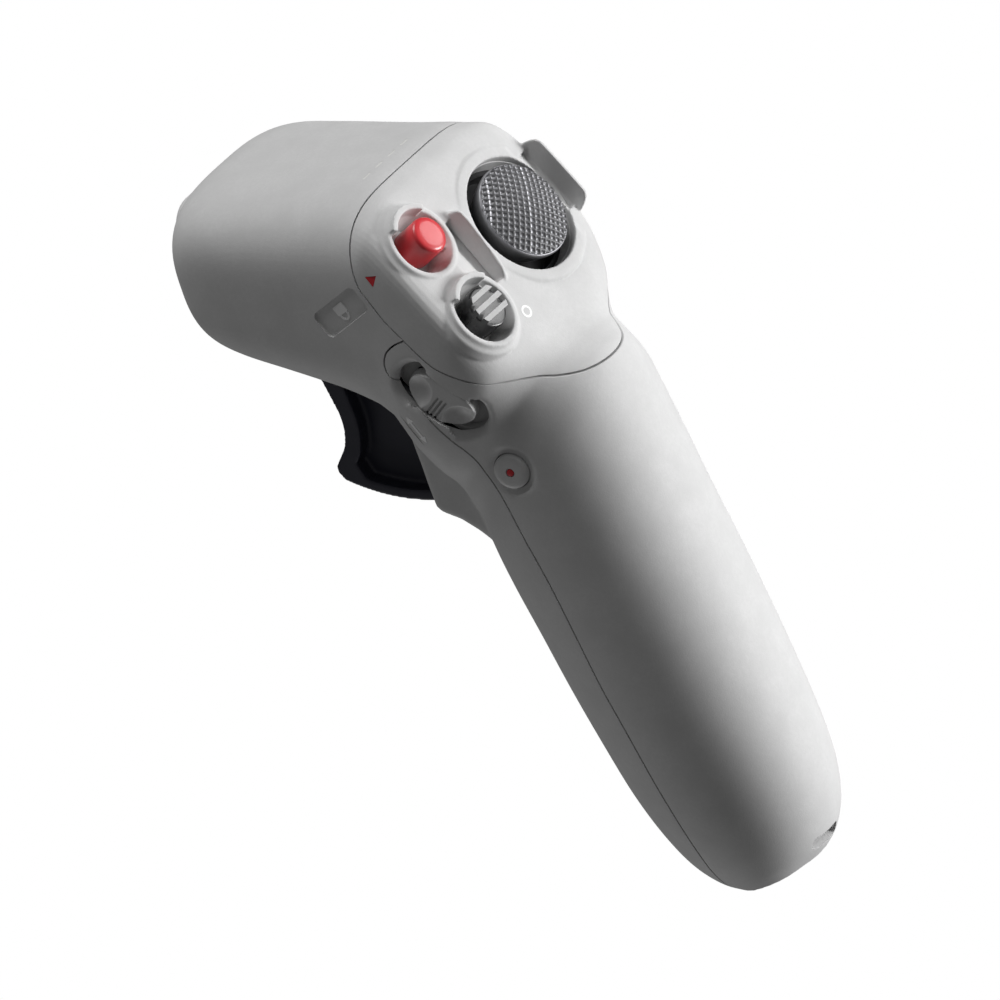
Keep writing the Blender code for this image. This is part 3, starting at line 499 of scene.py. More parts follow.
def lobe(name, spot):
    """The high wall over one part of a collar."""
    outline = ring_sector(LOBE_IN, LOBE_OUT, *LOBE_SPAN)
    return slab(name + "_lobe", panel_basis(*spot), outline, -1.2, LOBE_TOP)


def loft_down(name, rings):
    """A solid through rings of (x, out) points, each ring at its own place down the panel."""
    n = len(rings[0][1])
    verts = [on_panel(x, down, out) for down, ring in rings for x, out in ring]
    faces = [tuple(range(n)), tuple(range(len(verts) - n, len(verts)))]
    for k in range(len(rings) - 1):
        faces += [(k * n + i, k * n + (i + 1) % n, (k + 1) * n + (i + 1) % n, (k + 1) * n + i)
                  for i in range(n)]
    return new_object(name, verts, faces)


def guard(name, rows):
    """One raised wall beside the stick, given down the panel.

    Each row is: place down the panel, then (x, out) of its near foot, its ridge and its far foot.
    """
    half_ridge, root = 0.3, -4.0
    rings = []
    for down, near, ridge, far in rows:
        ring = [(near[0] - half_ridge, root), near, (ridge[0] - half_ridge, ridge[1]),
                (ridge[0] + half_ridge, ridge[1]), far, (far[0], root)]
        rings.append((down, ring))
    return loft_down(name, rings)


GUARD_LEFT = [
    (-10.9, (-5.7, 0.2), (-5.2, 0.8), (-4.4, 0.6)),
    (-10.5, (-5.8, 0.0), (-5.0, 2.5), (-4.2, 2.2)),
    (-9.9, (-5.9, -0.3), (-4.8, 3.6), (-4.1, 3.2)),
    (-9.0, (-6.0, -0.6), (-4.6, 4.1), (-4.0, 3.7)),
    (-6.8, (-6.0, -0.8), (-4.5, 4.0), (-3.9, 3.6)),
    (0.0, (-6.1, -0.8), (-4.6, 3.3), (-3.9, 2.9)),
    (4.4, (-6.2, -0.8), (-4.8, 2.7), (-4.0, 2.3)),
    (5.6, (-6.1, -0.6), (-4.9, 2.2), (-4.1, 1.8)),
    (7.0, (-5.8, -0.2), (-5.0, 1.3), (-4.2, 1.0)),
    (8.2, (-5.6, 0.4), (-5.1, 0.6), (-4.4, 0.4)),
]
GUARD_RIGHT = [
    (-11.2, (25.0, 0.0), (25.4, 0.6), (26.4, -2.0)),
    (-10.7, (25.0, -0.4), (25.7, 2.2), (26.9, 0.0)),
    (-10.0, (25.1, -0.8), (26.0, 3.3), (27.2, 1.2)),
    (-9.0, (25.1, -0.8), (26.2, 3.8), (27.4, 2.0)),
    (-4.0, (25.1, -0.9), (26.3, 3.9), (27.5, 2.0)),
    (2.0, (25.1, -0.9), (26.3, 3.9), (27.5, 2.0)),
    (4.4, (25.1, -0.8), (26.2, 3.8), (27.4, 2.0)),
    (5.3, (25.1, -1.0), (26.0, 3.2), (27.2, 1.2)),
    (6.0, (25.0, -0.7), (25.7, 2.1), (26.9, 0.0)),
    (6.6, (24.9, -0.4), (25.2, 0.5), (26.4, -2.0)),
]
# dips beside the guards, as (x, out) looked at down the panel
DIP_LEFT = [(-4.9, 2.6), (-6.0, -0.9), (-7.0, -0.7), (-10.5, 0.5), (-13.5, 1.45), (-13.5, 6.0),
            (-4.9, 6.0)]
DIP_RIGHT = [(19.6, 1.45), (22.6, 0.4), (24.2, -0.6), (25.2, -0.8), (26.3, 3.0), (26.3, 6.0),
             (19.6, 6.0)]
DIP_FLOOR = [(-4.4, 0.6), (-5.6, -0.6), (-7.0, -1.0), (-11.0, 0.2), (-11.4, -0.6), (-8.0, -2.2),
             (-4.4, -2.2)]
# the panel's left shoulder: (down, x of its inner edge, out there, x of its outer edge, out there)
SHOULDER = [
    (-14.0, -25.6, 2.4, -29.0, -0.6),
    (-5.0, -25.0, 2.2, -29.0, -1.8),
    (1.0, -24.2, 1.9, -29.0, -3.6),
    (7.0, -23.3, 1.5, -29.0, -5.4),
    (13.0, -21.6, 1.1, -29.0, -7.4),
    (19.0, -19.6, 0.4, -29.0, -9.6),
    (25.0, -17.6, -0.6, -29.0, -12.0),
]


def shoulder():
    """A cutter that slopes the panel's left shoulder, more so further down."""
    rings = []
    for down, x0, out0, x1, out1 in SHOULDER:
        middle = ((x0 + x1) / 2 - 0.5, (out0 + out1) / 2 + 0.9)
        rings.append((down, [(x0, out0), middle, (x1, out1), (x1, 9.0)]))
    return loft_down("shoulder", rings)


def panel_outside():
    """The panel's outer shape, still solid behind: dips, collars, guards and the stick's well."""
    panel = body_solid("panel_shell")
    keep(panel, side_slab("near", panel_region(3.0), -50.0, 50.0))
    cut(panel, slab("dip_left", ACROSS, DIP_LEFT, -9.6, 6.2),
        slab("dip_right", ACROSS, DIP_RIGHT, -9.8, 5.0), shoulder())
    rim = panel_basis(*WELL)
    mound = [(0.0, 1.42), (14.2, 1.42), (15.0, 1.36), (15.6, 1.0), (15.8, -2.5), (0.0, -2.5)]
    add(panel, collar_ring("lock", LOCK), collar_ring("mode", MODE),
        cut(turned("mound", rim, mound), slab("mound_dip", ACROSS, DIP_RIGHT, -20.0, 20.0)),
        guard("guard_left", GUARD_LEFT), guard("guard_right", GUARD_RIGHT))
    well = [(0.0, 6.0), (12.9, 6.0), (12.9, 1.9), (12.8, 1.1), (12.65, -2.6), (12.65, -9.0),
            (0.0, -9.0)]
    cut(panel, turned("well", rim, well), collar_bowl("lock", LOCK), collar_bowl("mode", MODE))
    add(panel, lobe("lock", LOCK), lobe("mode", MODE))
    cut(panel, rod("lock_room", panel_basis(*LOCK), LOBE_IN - 0.02, 0.6, 6.0),
        rod("mode_room", panel_basis(*MODE), LOBE_IN - 0.02, 0.6, 6.0))
    return soften(panel, VOXEL * 0.85, 3)


def panel_cups():
    """What is added behind the panel once it is hollow: cups, the well's wall and the posts."""
    cup = [(7.2, 0.2), (6.7, -5.2), (2.3, -5.2), (2.3, -4.02), (5.22, -4.02), (5.4, -3.3),
           (6.55, -0.3)]
    wall = [(13.4, 0.2), (13.1, -3.6), (12.45, -3.6), (12.5, -2.7), (12.6, -0.5)]
    cups = [turned("cup", panel_basis(*spot), cup) for spot in (LOCK, MODE)]
    cups.append(slab("dip_floor", ACROSS, DIP_FLOOR, -9.9, 6.5))
    cups.append(turned("well_wall", panel_basis(*WELL), wall))
    cups += [rod("post", panel_basis(*spot), 2.0, -14.4, 0.1, 32) for spot in POSTS]
    return cups


def panel_holes():
    """The holes for the two buttons' stems and for the posts' screws."""
    holes = [rod("stem_hole", panel_basis(*spot), 2.4, -9.0, 0.0) for spot in (LOCK, MODE)]
    return holes + [rod("post_hole", panel_basis(*spot), 1.25, -16.0, -8.0, 24) for spot in POSTS]


def make_panel():
    panel = panel_outside()
    keep(panel, side_slab("trim", panel_region(-SEAM / 2), -50.0, 50.0))
    cut(panel, body_solid("room", WALL))
    add(panel, *panel_cups())
    cut(panel, *panel_holes())
    pocket = basis(place(POINTER), POINTER_OUT, Y)
    cut(panel, slab("pointer_pocket", pocket, pointer_outline(0.12), -0.9, 3.0))
    return shade(panel, 38)


def pointer_outline(grow):
    tip = grow * 1.6
    return [(1.2 + tip, -0.7 - grow), (0.0, 1.35 + tip), (-1.25 - tip, -0.9 - grow)]


def skin_basis(start, way, xdir):
    """A frame on the skin where a ray meets it, with Z along the skin's normal."""
    hit, normal, _, _ = SKIN.ray_cast(start, way)
    return basis(hit, normal, xdir)


def tilt_label():
    return skin_basis(point(-60.0, *TILT_LABEL), X, TILT_WAY)


def light_spot(x):
    return skin_basis(point(x, LIGHT_Y, 60.0), -Z, X)


def mode_spot():
    return skin_basis(on_panel(*MODE_SIGN, 20.0), -OUT, X)


def slider_lip():
    """The soft lip around the slider's opening."""
    return [dish("slider_dish", SLIDE, stadium(10.2, 4.4), -1.6, 1.1, 0.8),
            dish("slider_lip", SLIDE, stadium(10.7, 4.8), -0.5, 1.1, 2.0)]


def slider_opening():
    return slab("slider_opening", SLIDE, stadium(10.1, 4.3), -8.0, 8.0)


def foot_hole():
    return rod("foot_hole", FOOT_END, CAP_HALF + 0.3, -6.0, 12.0)


def front_holes():
    nose = rounded(NOSE_HALF + NOSE_GAP, NOSE_LOW - NOSE_GAP, NOSE_TOP + NOSE_GAP, 6.6)
    ring = [(0.0, 4.0), (5.3, 4.0), (5.1, 0.3), (4.6, -0.4), (4.6, -5.0), (0.0, -5.0)]
    holes = [dish("label_dish", LABEL_SPOT, rounded(6.8, -3.0, 3.0, 1.4), -0.5, 3.0, 0.5),
             dish("tilt_dish", tilt_label(), rounded(5.4, -1.5, 1.5, 1.4), -0.3, 3.0, 0.5),
             slab("nose_hole", NOSE, nose, 58.0, 70.0),
             turned("power_hole", basis(place(POWER), X, Y), ring),
             foot_hole()]
    holes += [slab("light_slot", light_spot(x), LIGHT_OUTLINE, -0.3, 2.0) for x in LIGHTS]
    return holes + [slider_opening()]


def make_front():
    front = body_solid("front_shell_skin")
    keep(front, side_slab("near", front_region(-3.0), -50.0, 50.0))
    shelf = [(27.5, -23.0), (25.2, -33.0), (24.0, -52.6), (22.8, -54.0), (18.6, -55.7),
             (15.0, -58.2), (11.6, -61.4), (8.0, -60.0), (9.0, -42.0), (16.0, -25.0)]
    add(front, bevel(side_slab("shelf", shelf, -12.8, 12.8), 1.2, 4))
    clear = [(48.4, -7.0), (48.4, -25.0), (60.0, -31.0)] + arc(TRIGGER_R + 0.5, 33.0, -29.0, 48)
    clear += [(5.0, -42.0), (9.0, -28.0), (16.0, -12.0), (20.0, -7.0)]
    cut(front, side_slab("trigger_room", clear, -TRIGGER_SLOT, TRIGGER_SLOT), *slider_lip())
    soften(front, SHELL_VOXEL, 3)
    keep(front, side_slab("trim", front_region(SEAM / 2), -50.0, 50.0))
    cut(front, body_solid("room", WALL))
    cut(front, *front_holes())
    return shade(front, 30)


def cut_cord_eye(rear):
    """The slot at the foot, with a lug at each end that holds the bar across it."""
    eye = basis(place(CORD_EYE), EYE_OUT, X)
    lug = rounded(0.8, -2.0, 2.0, 0.3)
    for x in (-7.2, 7.2):
        add(rear, slab("lug", moved(eye, x, 0.0, -EYE_DEEP), lug, -1.8, 1.8))
    bar = basis(moved(eye, 0.0, 0.0, -EYE_DEEP).translation, X, Y)
    cut(rear, dish("eye_hole", eye, rounded(4.4, -1.5, 1.5, 1.2), -4.2, 3.5, 0.3),
        rod("bar_hole", bar, 1.1, -8.4, 8.4, 32))


def make_rear():
    record = basis(place(RECORD), RECORD_OUT, Z)
    hollow = [(0.0, 3.0), (6.6, 3.0), (5.4, 0.5), (5.0, -0.7), (0.0, -0.8)]
    rear = body_solid("rear_shell_skin")
    keep(rear, side_slab("near", rear_region(-3.0), -50.0, 50.0))
    cut(rear, turned("record_dish", record, hollow), *slider_lip())
    soften(rear, SHELL_VOXEL, 4)
    keep(rear, side_slab("trim", rear_region(SEAM / 2), -50.0, 50.0))
    cut(rear, body_solid("room", WALL))
    boss = slab("slider_boss", SLIDE, stadium(11.2, 5.4), -3.45, -1.7)
    add(rear, keep(boss, body_solid("boss_limit", 0.6),
                   side_slab("boss_region", rear_region(SEAM / 2), -50.0, 0.0)))
    cut(rear, slider_opening(), rod("record_hole", record, 4.0, -6.0, 3.0), foot_hole())
    cut_cord_eye(rear)
    return shade(rear, 30)


def make_nose_cover():
    outline = rounded(NOSE_HALF, NOSE_LOW, NOSE_TOP, 6.4)
    cover = slab("nose_cover_skin", NOSE, outline, 60.8, 65.1)
    return shade(bevel(cover, 0.9, 4), 30)


# ---------------------------------------------------------------- stick and buttons

def dome(square):
    """How far the stick's top has fallen from DOME_TOP where the radius squared is square."""
    return DOME_FALL * square / DOME_R ** 2


def grid_edge(count):
    """The boundary of a count by count grid of points, in order round it."""
    edge = list(range(count)) + [i * count + count - 1 for i in range(1, count)]
    edge += [(count - 1) * count + j for j in range(count - 2, -1, -1)]
    return edge + [i * count for i in range(count - 2, 0, -1)]


def knurl_pad(here):
    """The cap's domed top with a net of raised lines around square pits."""
    crest = ((1.0, 0.86, 0.42, 0.08, 0.0, 0.08, 0.42, 0.86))
    per = len(crest)
    step = KNURL_PITCH / per
    half = int(KNURL_HALF / step)
    count = 2 * half + 1
    places = []
    for i in range(-half, half + 1):
        for j in range(-half, half + 1):
            u, v = i * step, j * step
            net = max(crest[i % per], crest[j % per])
            high = DOME_TOP - dome(u * u + v * v) + (net - 1.0) * KNURL_HIGH
            places.append(((u + v) / math.sqrt(2), (v - u) / math.sqrt(2), high))
    faces = [(i * count + j, i * count + j + 1, (i + 1) * count + j + 1, (i + 1) * count + j)
             for i in range(count - 1) for j in range(count - 1)]
    edge = grid_edge(count)
    total, low = len(edge), len(places)
    places += [(places[k][0], places[k][1], 1.0) for k in edge]
    faces += [(edge[k], edge[(k + 1) % total], low + (k + 1) % total, low + k) for k in range(total)]
    faces.append(tuple(range(low, low + total)))
    pad = new_object("knurl_pad", [here @ (Vector(p) * MM) for p in places], faces)
    return keep(pad, rod("pad_edge", here, KNURL_R, 0.0, 6.0, 192))


def make_stick_cap():
    """The cap: a knurled dome, a rounded rim and a tapered skirt over its stem."""
    here = panel_basis(*STICK)
    under = [(1.01 * k, DOME_TOP - 0.6 - dome((1.01 * k) ** 2)) for k in range(11)]
    profile = under + [(10.22, 2.62), (10.3, 2.6), (10.4, 2.5), (10.48, 2.3), (10.52, 2.0),
                       (10.5, 1.6), (10.3, 0.8), (9.5, -1.6), (8.4, -4.0), (8.2, -4.3), (7.9, -4.4),
                       (7.2, -4.4), (6.8, -2.4), (2.2, -2.4), (2.2, -7.0), (1.8, -8.4), (1.8, -10.2),
                       (0.0, -10.2)]
    cap = turned("stick_cap", here, profile, 192)
    add(cap, knurl_pad(here))
    return shade(cap, 40)


def make_liner():
    """The dark liner below the well's pale wall."""
    profile = [(13.0, -3.9), (12.85, -7.7), (6.2, -7.7), (6.2, -7.2), (11.4, -7.2), (11.5, -3.9)]
    return shade(turned("well_liner_skin", panel_basis(*WELL), profile), 40)


def make_lock_cap():
    here = panel_basis(*LOCK)
    profile = [(0.0, 4.9), (1.4, 4.88), (2.6, 4.8), (3.3, 4.7), (3.62, 4.58), (3.85, 4.38),
               (4.0, 4.1), (4.05, 3.8), (BUTTON_R, -2.4), (BUTTON_R - 0.2, -2.8), (STEM_R, -2.8),
               (STEM_R, -9.4), (0.0, -9.4)]
    return shade(turned("lock_cap", here, profile, 128), 50)


def make_mode_cap():
    """The cap, with three square ribs across it, and the pale tops of those ribs."""
    here = panel_basis(*MODE)
    profile = [(0.0, 2.9), (MODE_R - 0.4, 2.9), (MODE_R - 0.12, 2.8), (MODE_R, 2.5), (MODE_R, -2.4),
               (MODE_R - 0.2, -2.8), (STEM_R, -2.8), (STEM_R, -9.4), (0.0, -9.4)]
    cap = turned("mode_cap", here, profile, 128)
    tops = []
    for i, down in enumerate(RIB_ROWS):
        spot = panel_basis(MODE[0], MODE[1] + down)
        rib = slab("rib", spot, rounded(5.0, -0.62, 0.62, 0.05, 2), 2.6, 3.9)
        add(cap, keep(rib, rod("rib_limit", here, MODE_R - 0.06, 2.0, 5.0)))
        top = slab("mode_rib_%d" % (i + 1), spot, rounded(5.0, -0.54, 0.54, 0.05, 2), 3.8, 3.97)
        tops.append(shade(keep(top, rod("top_limit", here, MODE_R - 0.14, 2.0, 5.0)), 30))
    return shade(cap, 40), tops


def make_slider_knob():
    """The knob: a scoop for the finger at each end, and three grooves between them."""
    lift = moved(SLIDE, 0.0, 0.0, -1.1)
    top, ball = 2.6, 5.6
    knob = slab("slider_knob", lift, stadium(7.6, 4.0), -0.9, top)
    turns = [math.pi * i / 24 for i in range(1, 24)]
    bowl = [(0.0, ball)] + [(ball * math.sin(t), ball * math.cos(t)) for t in turns] + [(0.0, -ball)]
    cut(knob, *[turned("scoop", moved(lift, x, -1.4, 6.2), bowl, 64) for x in (-6.1, 6.1)])
    soften(knob, 0.16, 6)
    groove = rounded(0.26, -6.0, 0.8, 0.1, 2)
    cut(knob, *[slab("groove", moved(lift, x, 0.0, top), groove, -0.6, 1.0)
                for x in (-0.95, 0.0, 0.95)])
    add(knob, slab("stem", SLIDE, stadium(3.0, 1.2), -6.2, -1.6), solver='EXACT')
    return shade(knob, 35)


def make_record_cap():
    """The button, and the red spot set in the middle of it."""
    here = basis(place(RECORD), RECORD_OUT, Z)
    profile = [(0.0, -0.1), (0.95, -0.1), (0.95, 0.4), (1.6, 0.42), (2.6, 0.4), (3.3, 0.28),
               (3.65, 0.05), (3.8, -0.35), (3.8, -2.6), (1.4, -2.6), (1.4, -4.4), (0.0, -4.4)]
    cap = turned("record_cap", here, profile)
    spot = [(0.0, 0.5), (0.5, 0.48), (0.72, 0.4), (0.78, 0.2), (0.78, 0.05), (0.0, 0.05)]
    return shade(cap, 40), shade(turned("record_spot", here, spot, 48), 50)


def make_power_cap():
    here = basis(place(POWER), X, Y)
    profile = [(0.0, -0.15), (1.5, -0.1), (2.9, 0.1), (3.6, 0.2), (4.0, 0.05), (4.2, -0.3),
               (4.2, -2.6), (1.5, -2.6), (1.5, -3.2), (0.0, -3.2)]
    return shade(turned("power_cap", here, profile), 40)


def make_end_cap_skin():
    """The end cap, with the inlet's slot and a sunk screw hole."""
    profile = [(0.0, 0.9), (4.0, 0.85), (6.6, 0.7), (CAP_HALF - 0.5, 0.4), (CAP_HALF - 0.1, 0.15),
               (CAP_HALF, -0.3), (CAP_HALF, -2.4), (0.0, -2.4)]
    cap = turned("end_cap_skin", FOOT_END, profile, 128)
    port = moved(FOOT_END, 0.0, 2.0, 0.0)
    screw = moved(FOOT_END, 0.0, -4.2, -0.7)
    sink = [(0.0, 4.0), (2.6, 4.0), (2.2, 1.2), (2.2, -0.3), (0.0, -0.3)]
    cut(cap, slab("port_slot", port, stadium(4.85, 1.95, 12), -6.0, 6.0),
        turned("screw_room", screw, sink, 48),
        rod("screw_hole", screw, 1.3, -6.0, 1.0, 32), solver='EXACT')
    return shade(cap, 35)


# ---------------------------------------------------------------- trigger

def make_trigger_blade():
    """The blade, its narrower arm up to the hinge, and a shallow pocket in each side."""
    front_edge = [(45.4, -24.0), (43.9, -30.1), (43.1, -34.0), (43.2, -36.9), (44.3, -40.6),
                  (46.5, -43.6)]
    blade = fine(front_edge, 4) + [(47.6, -45.0), (47.8, -45.8), (47.5, -46.8)]
    blade += arc(TRIGGER_R, 26.4, -8.0, 40) + [(21.6, -40.0), (22.6, -27.0), (30.0, -24.0)]
    thing = side_slab("trigger_blade", blade, -TRIGGER_HALF, TRIGGER_HALF)
    arm = [(30.5, -6.6), (36.0, -12.0), (44.8, -21.0), (45.4, -24.0), (43.2, -31.0), (24.5, -31.0),
           (22.9, -27.0), (22.7, -12.0), (23.6, -6.6), (27.0, -4.8)]
    add(thing, side_slab("trigger_arm", arm, -6.0, 6.0))
    pocket = [(40.4, -25.5), (39.6, -31.0), (39.3, -36.0), (40.6, -41.6), (42.6, -44.6)]
    pocket = fine(pocket, 4) + arc(TRIGGER_R - 2.3, 20.0, -9.5, 24) + [(24.0, -29.0), (30.0, -25.0)]
    cut(thing, side_slab("pocket_left", pocket, -20.0, -6.2),
        side_slab("pocket_right", pocket, 6.2, 20.0))
    soften(thing, 0.32, 3)
    cut(thing, rod("bore", AXLE, 1.6, -20.0, 20.0, 48))
    return shade(thing, 40)


# ---------------------------------------------------------------- signs

LIGHT_OUTLINE = rounded(1.35, -0.25, 0.25, 0.2, 4)


def sign(name, where, shapes, low, high):
    """One raised sign made of flat shapes."""
    parts = [slab(name, where, shape, low, high) for shape in shapes]
    if len(parts) > 1:
        add(parts[0], *parts[1:], solver='EXACT')
    return parts[0]


def padlock():
    """A padlock: a rounded block under a shackle."""
    turns = [math.pi * i / 12 for i in range(13)]
    loop = []
    for radius, order in ((1.15, 1), (0.75, -1)):
        bend = [(radius * math.cos(t), 0.9 + radius * math.sin(t)) for t in turns]
        loop += ([(radius, 0.3)] + bend + [(-radius, 0.3)])[::order]
    return [rounded(1.5, -1.7, 0.5, 0.3, 4), loop]


def two_way_arrow():
    return [[(-3.4, 0.0), (-1.9, 1.0), (-1.9, 0.3), (1.9, 0.3), (1.9, 1.0), (3.4, 0.0), (1.9, -1.0),
             (1.9, -0.3), (-1.9, -0.3), (-1.9, -1.0)]]


# ---------------------------------------------------------------- materials

def add_node(tree, kind, **values):
    """A new node, with inputs or settings given by name."""
    node = tree.nodes.new(kind)
    for name, value in values.items():
        if name in node.inputs:
            node.inputs[name].default_value = value
        else:
            setattr(node, name, value)
    return node


def noise(tree, size, detail=2.0, rough=0.5):
    """Noise whose blobs are about size millimetres across."""
    where = add_node(tree, 'ShaderNodeTexCoord')
    blobs = add_node(tree, 'ShaderNodeTexNoise', Scale=1.0 / (size * MM), Detail=detail,
                     Roughness=rough)
    tree.links.new(where.outputs['Object'], blobs.inputs['Vector'])
    return blobs.outputs['Fac']


def spread(tree, source, low, high, first=0.3, last=0.7):
    """source remapped from first..last to low..high."""
    step = add_node(tree, 'ShaderNodeMapRange', **{'From Min': first, 'From Max': last,
                                                   'To Min': low, 'To Max': high})
    tree.links.new(source, step.inputs['Value'])
    return step.outputs['Result']


def mixed(tree, factor, a, b):
    """A colour between a and b; each is a colour or another node's output."""
    mix = tree.nodes.new('ShaderNodeMix')
    mix.data_type = 'RGBA'
    tree.links.new(factor, mix.inputs['Factor'])
    for socket, value in ((mix.inputs[6], a), (mix.inputs[7], b)):
        if isinstance(value, tuple):
            socket.default_value = (*value, 1.0)
        else:
            tree.links.new(value, socket)
    return mix.outputs[2]


def scaled(color, factor):
    return tuple(min(1.0, c * factor) for c in color)


def surface_material(name, color, rough, grain=0.22, bump=0.02, tint=0.04, wear_and_highlight=0.12, metal=0.0,
                     coat=0.0, patch=6.0, specular=0.5, worn_and_lit_tone=1.25):
    """A moulded or plated finish: grain, broad tint and gloss changes, and lighter convex edges,
    which are slight wear on most finishes and a painted highlight on the stick cap's crests.
    """
    mat = bpy.data.materials.new(name)
    mat.use_nodes = True
    tree = mat.node_tree
    shader = tree.nodes['Principled BSDF']
    shader.inputs['Metallic'].default_value = metal
    shader.inputs['Coat Weight'].default_value = coat
    shader.inputs['Specular IOR Level'].default_value = specular
    broad = noise(tree, patch, 3.0)
    fine_grain = noise(tree, grain, 2.0, 0.6)
    speck = noise(tree, grain * 2.6, 1.0)
    base = mixed(tree, spread(tree, broad, 0.0, 1.0), scaled(color, 1 - tint),
                 scaled(color, 1 + tint))
    grained = mixed(tree, spread(tree, speck, 0.0, 0.5), base, scaled(color, 1 - 1.6 * tint))
    shape = add_node(tree, 'ShaderNodeNewGeometry')
    # lighter where the surface is convex: a little wear on most finishes; with the stick cap's
    # settings, a painted highlight on the knurl's crests
    edge = spread(tree, shape.outputs['Pointiness'], 0.0, wear_and_highlight, 0.515, 0.57)
    worn_and_lit = mixed(tree, edge, grained, scaled(color, worn_and_lit_tone))
    tree.links.new(worn_and_lit, shader.inputs['Base Color'])
    gloss = spread(tree, noise(tree, patch * 0.6, 4.0), rough - 0.05, rough + 0.05)
    tree.links.new(gloss, shader.inputs['Roughness'])
    relief = add_node(tree, 'ShaderNodeBump', Strength=1.0, Distance=bump * MM)
    tree.links.new(fine_grain, relief.inputs['Height'])
    tree.links.new(relief.outputs['Normal'], shader.inputs['Normal'])
    return mat


MATERIALS = {
    "shell_grey": surface_material("shell_plastic", (0.62, 0.62, 0.62), 0.62, 0.3, 0.03,
                                   specular=0.3),
    "panel_grey": surface_material("panel_plastic", (0.62, 0.62, 0.62), 0.62, 0.3, 0.03,
                                   specular=0.3),
    # the stick's own colour is dark grey; the strong edge setting here paints a bright highlight
    # onto the knurl's crests
    "stick_dark": surface_material("stick_metal", (0.09, 0.09, 0.095), 0.38, 0.12, 0.004, metal=0.2,
                                   wear_and_highlight=1.0, worn_and_lit_tone=6.5),
    "well_black": surface_material("well_plastic", (0.02, 0.02, 0.021), 0.6, 0.2, 0.01),
    "lock_red": surface_material("lock_plastic", (0.66, 0.035, 0.045), 0.36, 0.3, 0.006, 0.03, 0.06,
                                 coat=0.4),
    "button_black": surface_material("mode_plastic", (0.016, 0.016, 0.017), 0.28, 0.25, 0.004,
                                     coat=0.3),
    "button_grey": surface_material("button_plastic", (0.64, 0.64, 0.64), 0.45, 0.22, 0.012),
    "mark_red": surface_material("mark_enamel", (0.68, 0.03, 0.04), 0.35, 0.3, 0.004),
    "trigger_black": surface_material("trigger_plastic", (0.03, 0.031, 0.045), 0.4, 0.2, 0.008,
                                      wear_and_highlight=0.02, specular=0.4),
    "light_guide": surface_material("guide_plastic", (0.74, 0.74, 0.72), 0.35, 0.4, 0.004),
    "board_green": surface_material("board_mask", (0.02, 0.16, 0.07), 0.35, 0.5, 0.01, 0.12,
                                    coat=0.3),
    "chip_black": surface_material("chip_resin", (0.02, 0.02, 0.021), 0.55, 0.12, 0.01, 0.1),
    "frame_black": surface_material("frame_plastic", (0.04, 0.04, 0.041), 0.55, 0.2, 0.016, 0.1),
    "cell_blue": surface_material("cell_wrap", (0.04, 0.1, 0.34), 0.3, 0.5, 0.01, 0.05, 0.1,
                                  coat=0.3),
    "antenna_film": surface_material("film_amber", (0.42, 0.22, 0.05), 0.3, 0.5, 0.01, 0.1),
    "steel": surface_material("steel_turned", (0.56, 0.56, 0.58), 0.3, 0.1, 0.006, 0.06, metal=1.0),
    "tin": surface_material("tin_sheet", (0.7, 0.7, 0.69), 0.34, 0.18, 0.008, 0.06, metal=1.0),
    "magnet_nickel": surface_material("nickel_plate", (0.6, 0.59, 0.56), 0.2, 0.1, 0.004, 0.05,
                                      metal=1.0),
}
RIB_PLASTIC = surface_material("rib_plastic", (0.46, 0.46, 0.46), 0.45, 0.18, 0.02, 0.12)
PALE_INK = surface_material("pale_ink", (0.9, 0.9, 0.9), 0.45, 0.15, 0.006)


# ---------------------------------------------------------------- assembly

REPLACED = set()


def show(thing, body, slot, *nodes, mat=None):
    """Give a piece its finish, its body and the CAD nodes that it stands for."""
    thing.data.materials.clear()
    thing.data.materials.append(mat or MATERIALS[slot])
    thing.data.polygons.foreach_set("material_index", [0] * len(thing.data.polygons))
    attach(thing, body)
    if nodes:
        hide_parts(*nodes)
        REPLACED.update(nodes)
    return thing


def dress_nodes():
    """Better finishes for the CAD nodes that are shown as they are."""
    for name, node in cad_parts.items():
        if name in REPLACED:
            continue
        slot = node.data.materials[0].name.split(".")[0]
        node.data.materials[0] = MATERIALS[slot]


def make_signs():
    """Plain signs where the control names go, and the level lights' windows."""
    upright = LABEL_SPOT @ Matrix.Rotation(math.radians(180), 4, 'Z')
    show(sign("lock_sign", upright, padlock(), -0.8, -0.4), "body", "shell_grey", mat=PALE_INK)
    arrow = sign("tilt_sign", tilt_label(), two_way_arrow(), -0.6, -0.22)
    show(arrow, "body", "shell_grey", mat=PALE_INK)
    band = [(1.35, 0.03), (1.35, -0.3), (0.85, -0.3), (0.85, 0.03)]
    show(turned("mode_sign", mode_spot(), band, 48), "body", "panel_grey", mat=PALE_INK)
    for i, x in enumerate(LIGHTS):
        window = slab("light_window_%d" % (i + 1), light_spot(x), LIGHT_OUTLINE, -0.5, -0.05)
        show(window, "body", "light_guide")


def build():
    show(make_panel(), "body", "panel_grey", "control_panel")
    show(make_front(), "body", "shell_grey", "front_shell")
    show(make_rear(), "body", "shell_grey", "rear_shell")
    show(make_nose_cover(), "body", "shell_grey", "nose_cover")
    show(make_end_cap_skin(), "body", "shell_grey", "end_cap")
    show(make_stick_cap(), "stick", "stick_dark", "joystick_cap")
    show(make_liner(), "body", "well_black", "well_liner")
    show(make_lock_cap(), "lock", "lock_red", "lock_button")
    cap, ribs = make_mode_cap()
    show(cap, "mode", "button_black", "mode_button")
    for rib in ribs:
        show(rib, "mode", "button_black", mat=RIB_PLASTIC)
    show(make_slider_knob(), "slider", "button_grey", "tilt_slider")
    cap, spot = make_record_cap()
    show(cap, "record", "button_grey", "record_button")
    show(spot, "record", "mark_red", "record_dot")
    show(make_power_cap(), "power", "button_grey", "power_button")
    show(make_trigger_blade(), "trigger", "trigger_black", "trigger")
    make_signs()
    dress_nodes()


# ---------------------------------------------------------------- light and camera

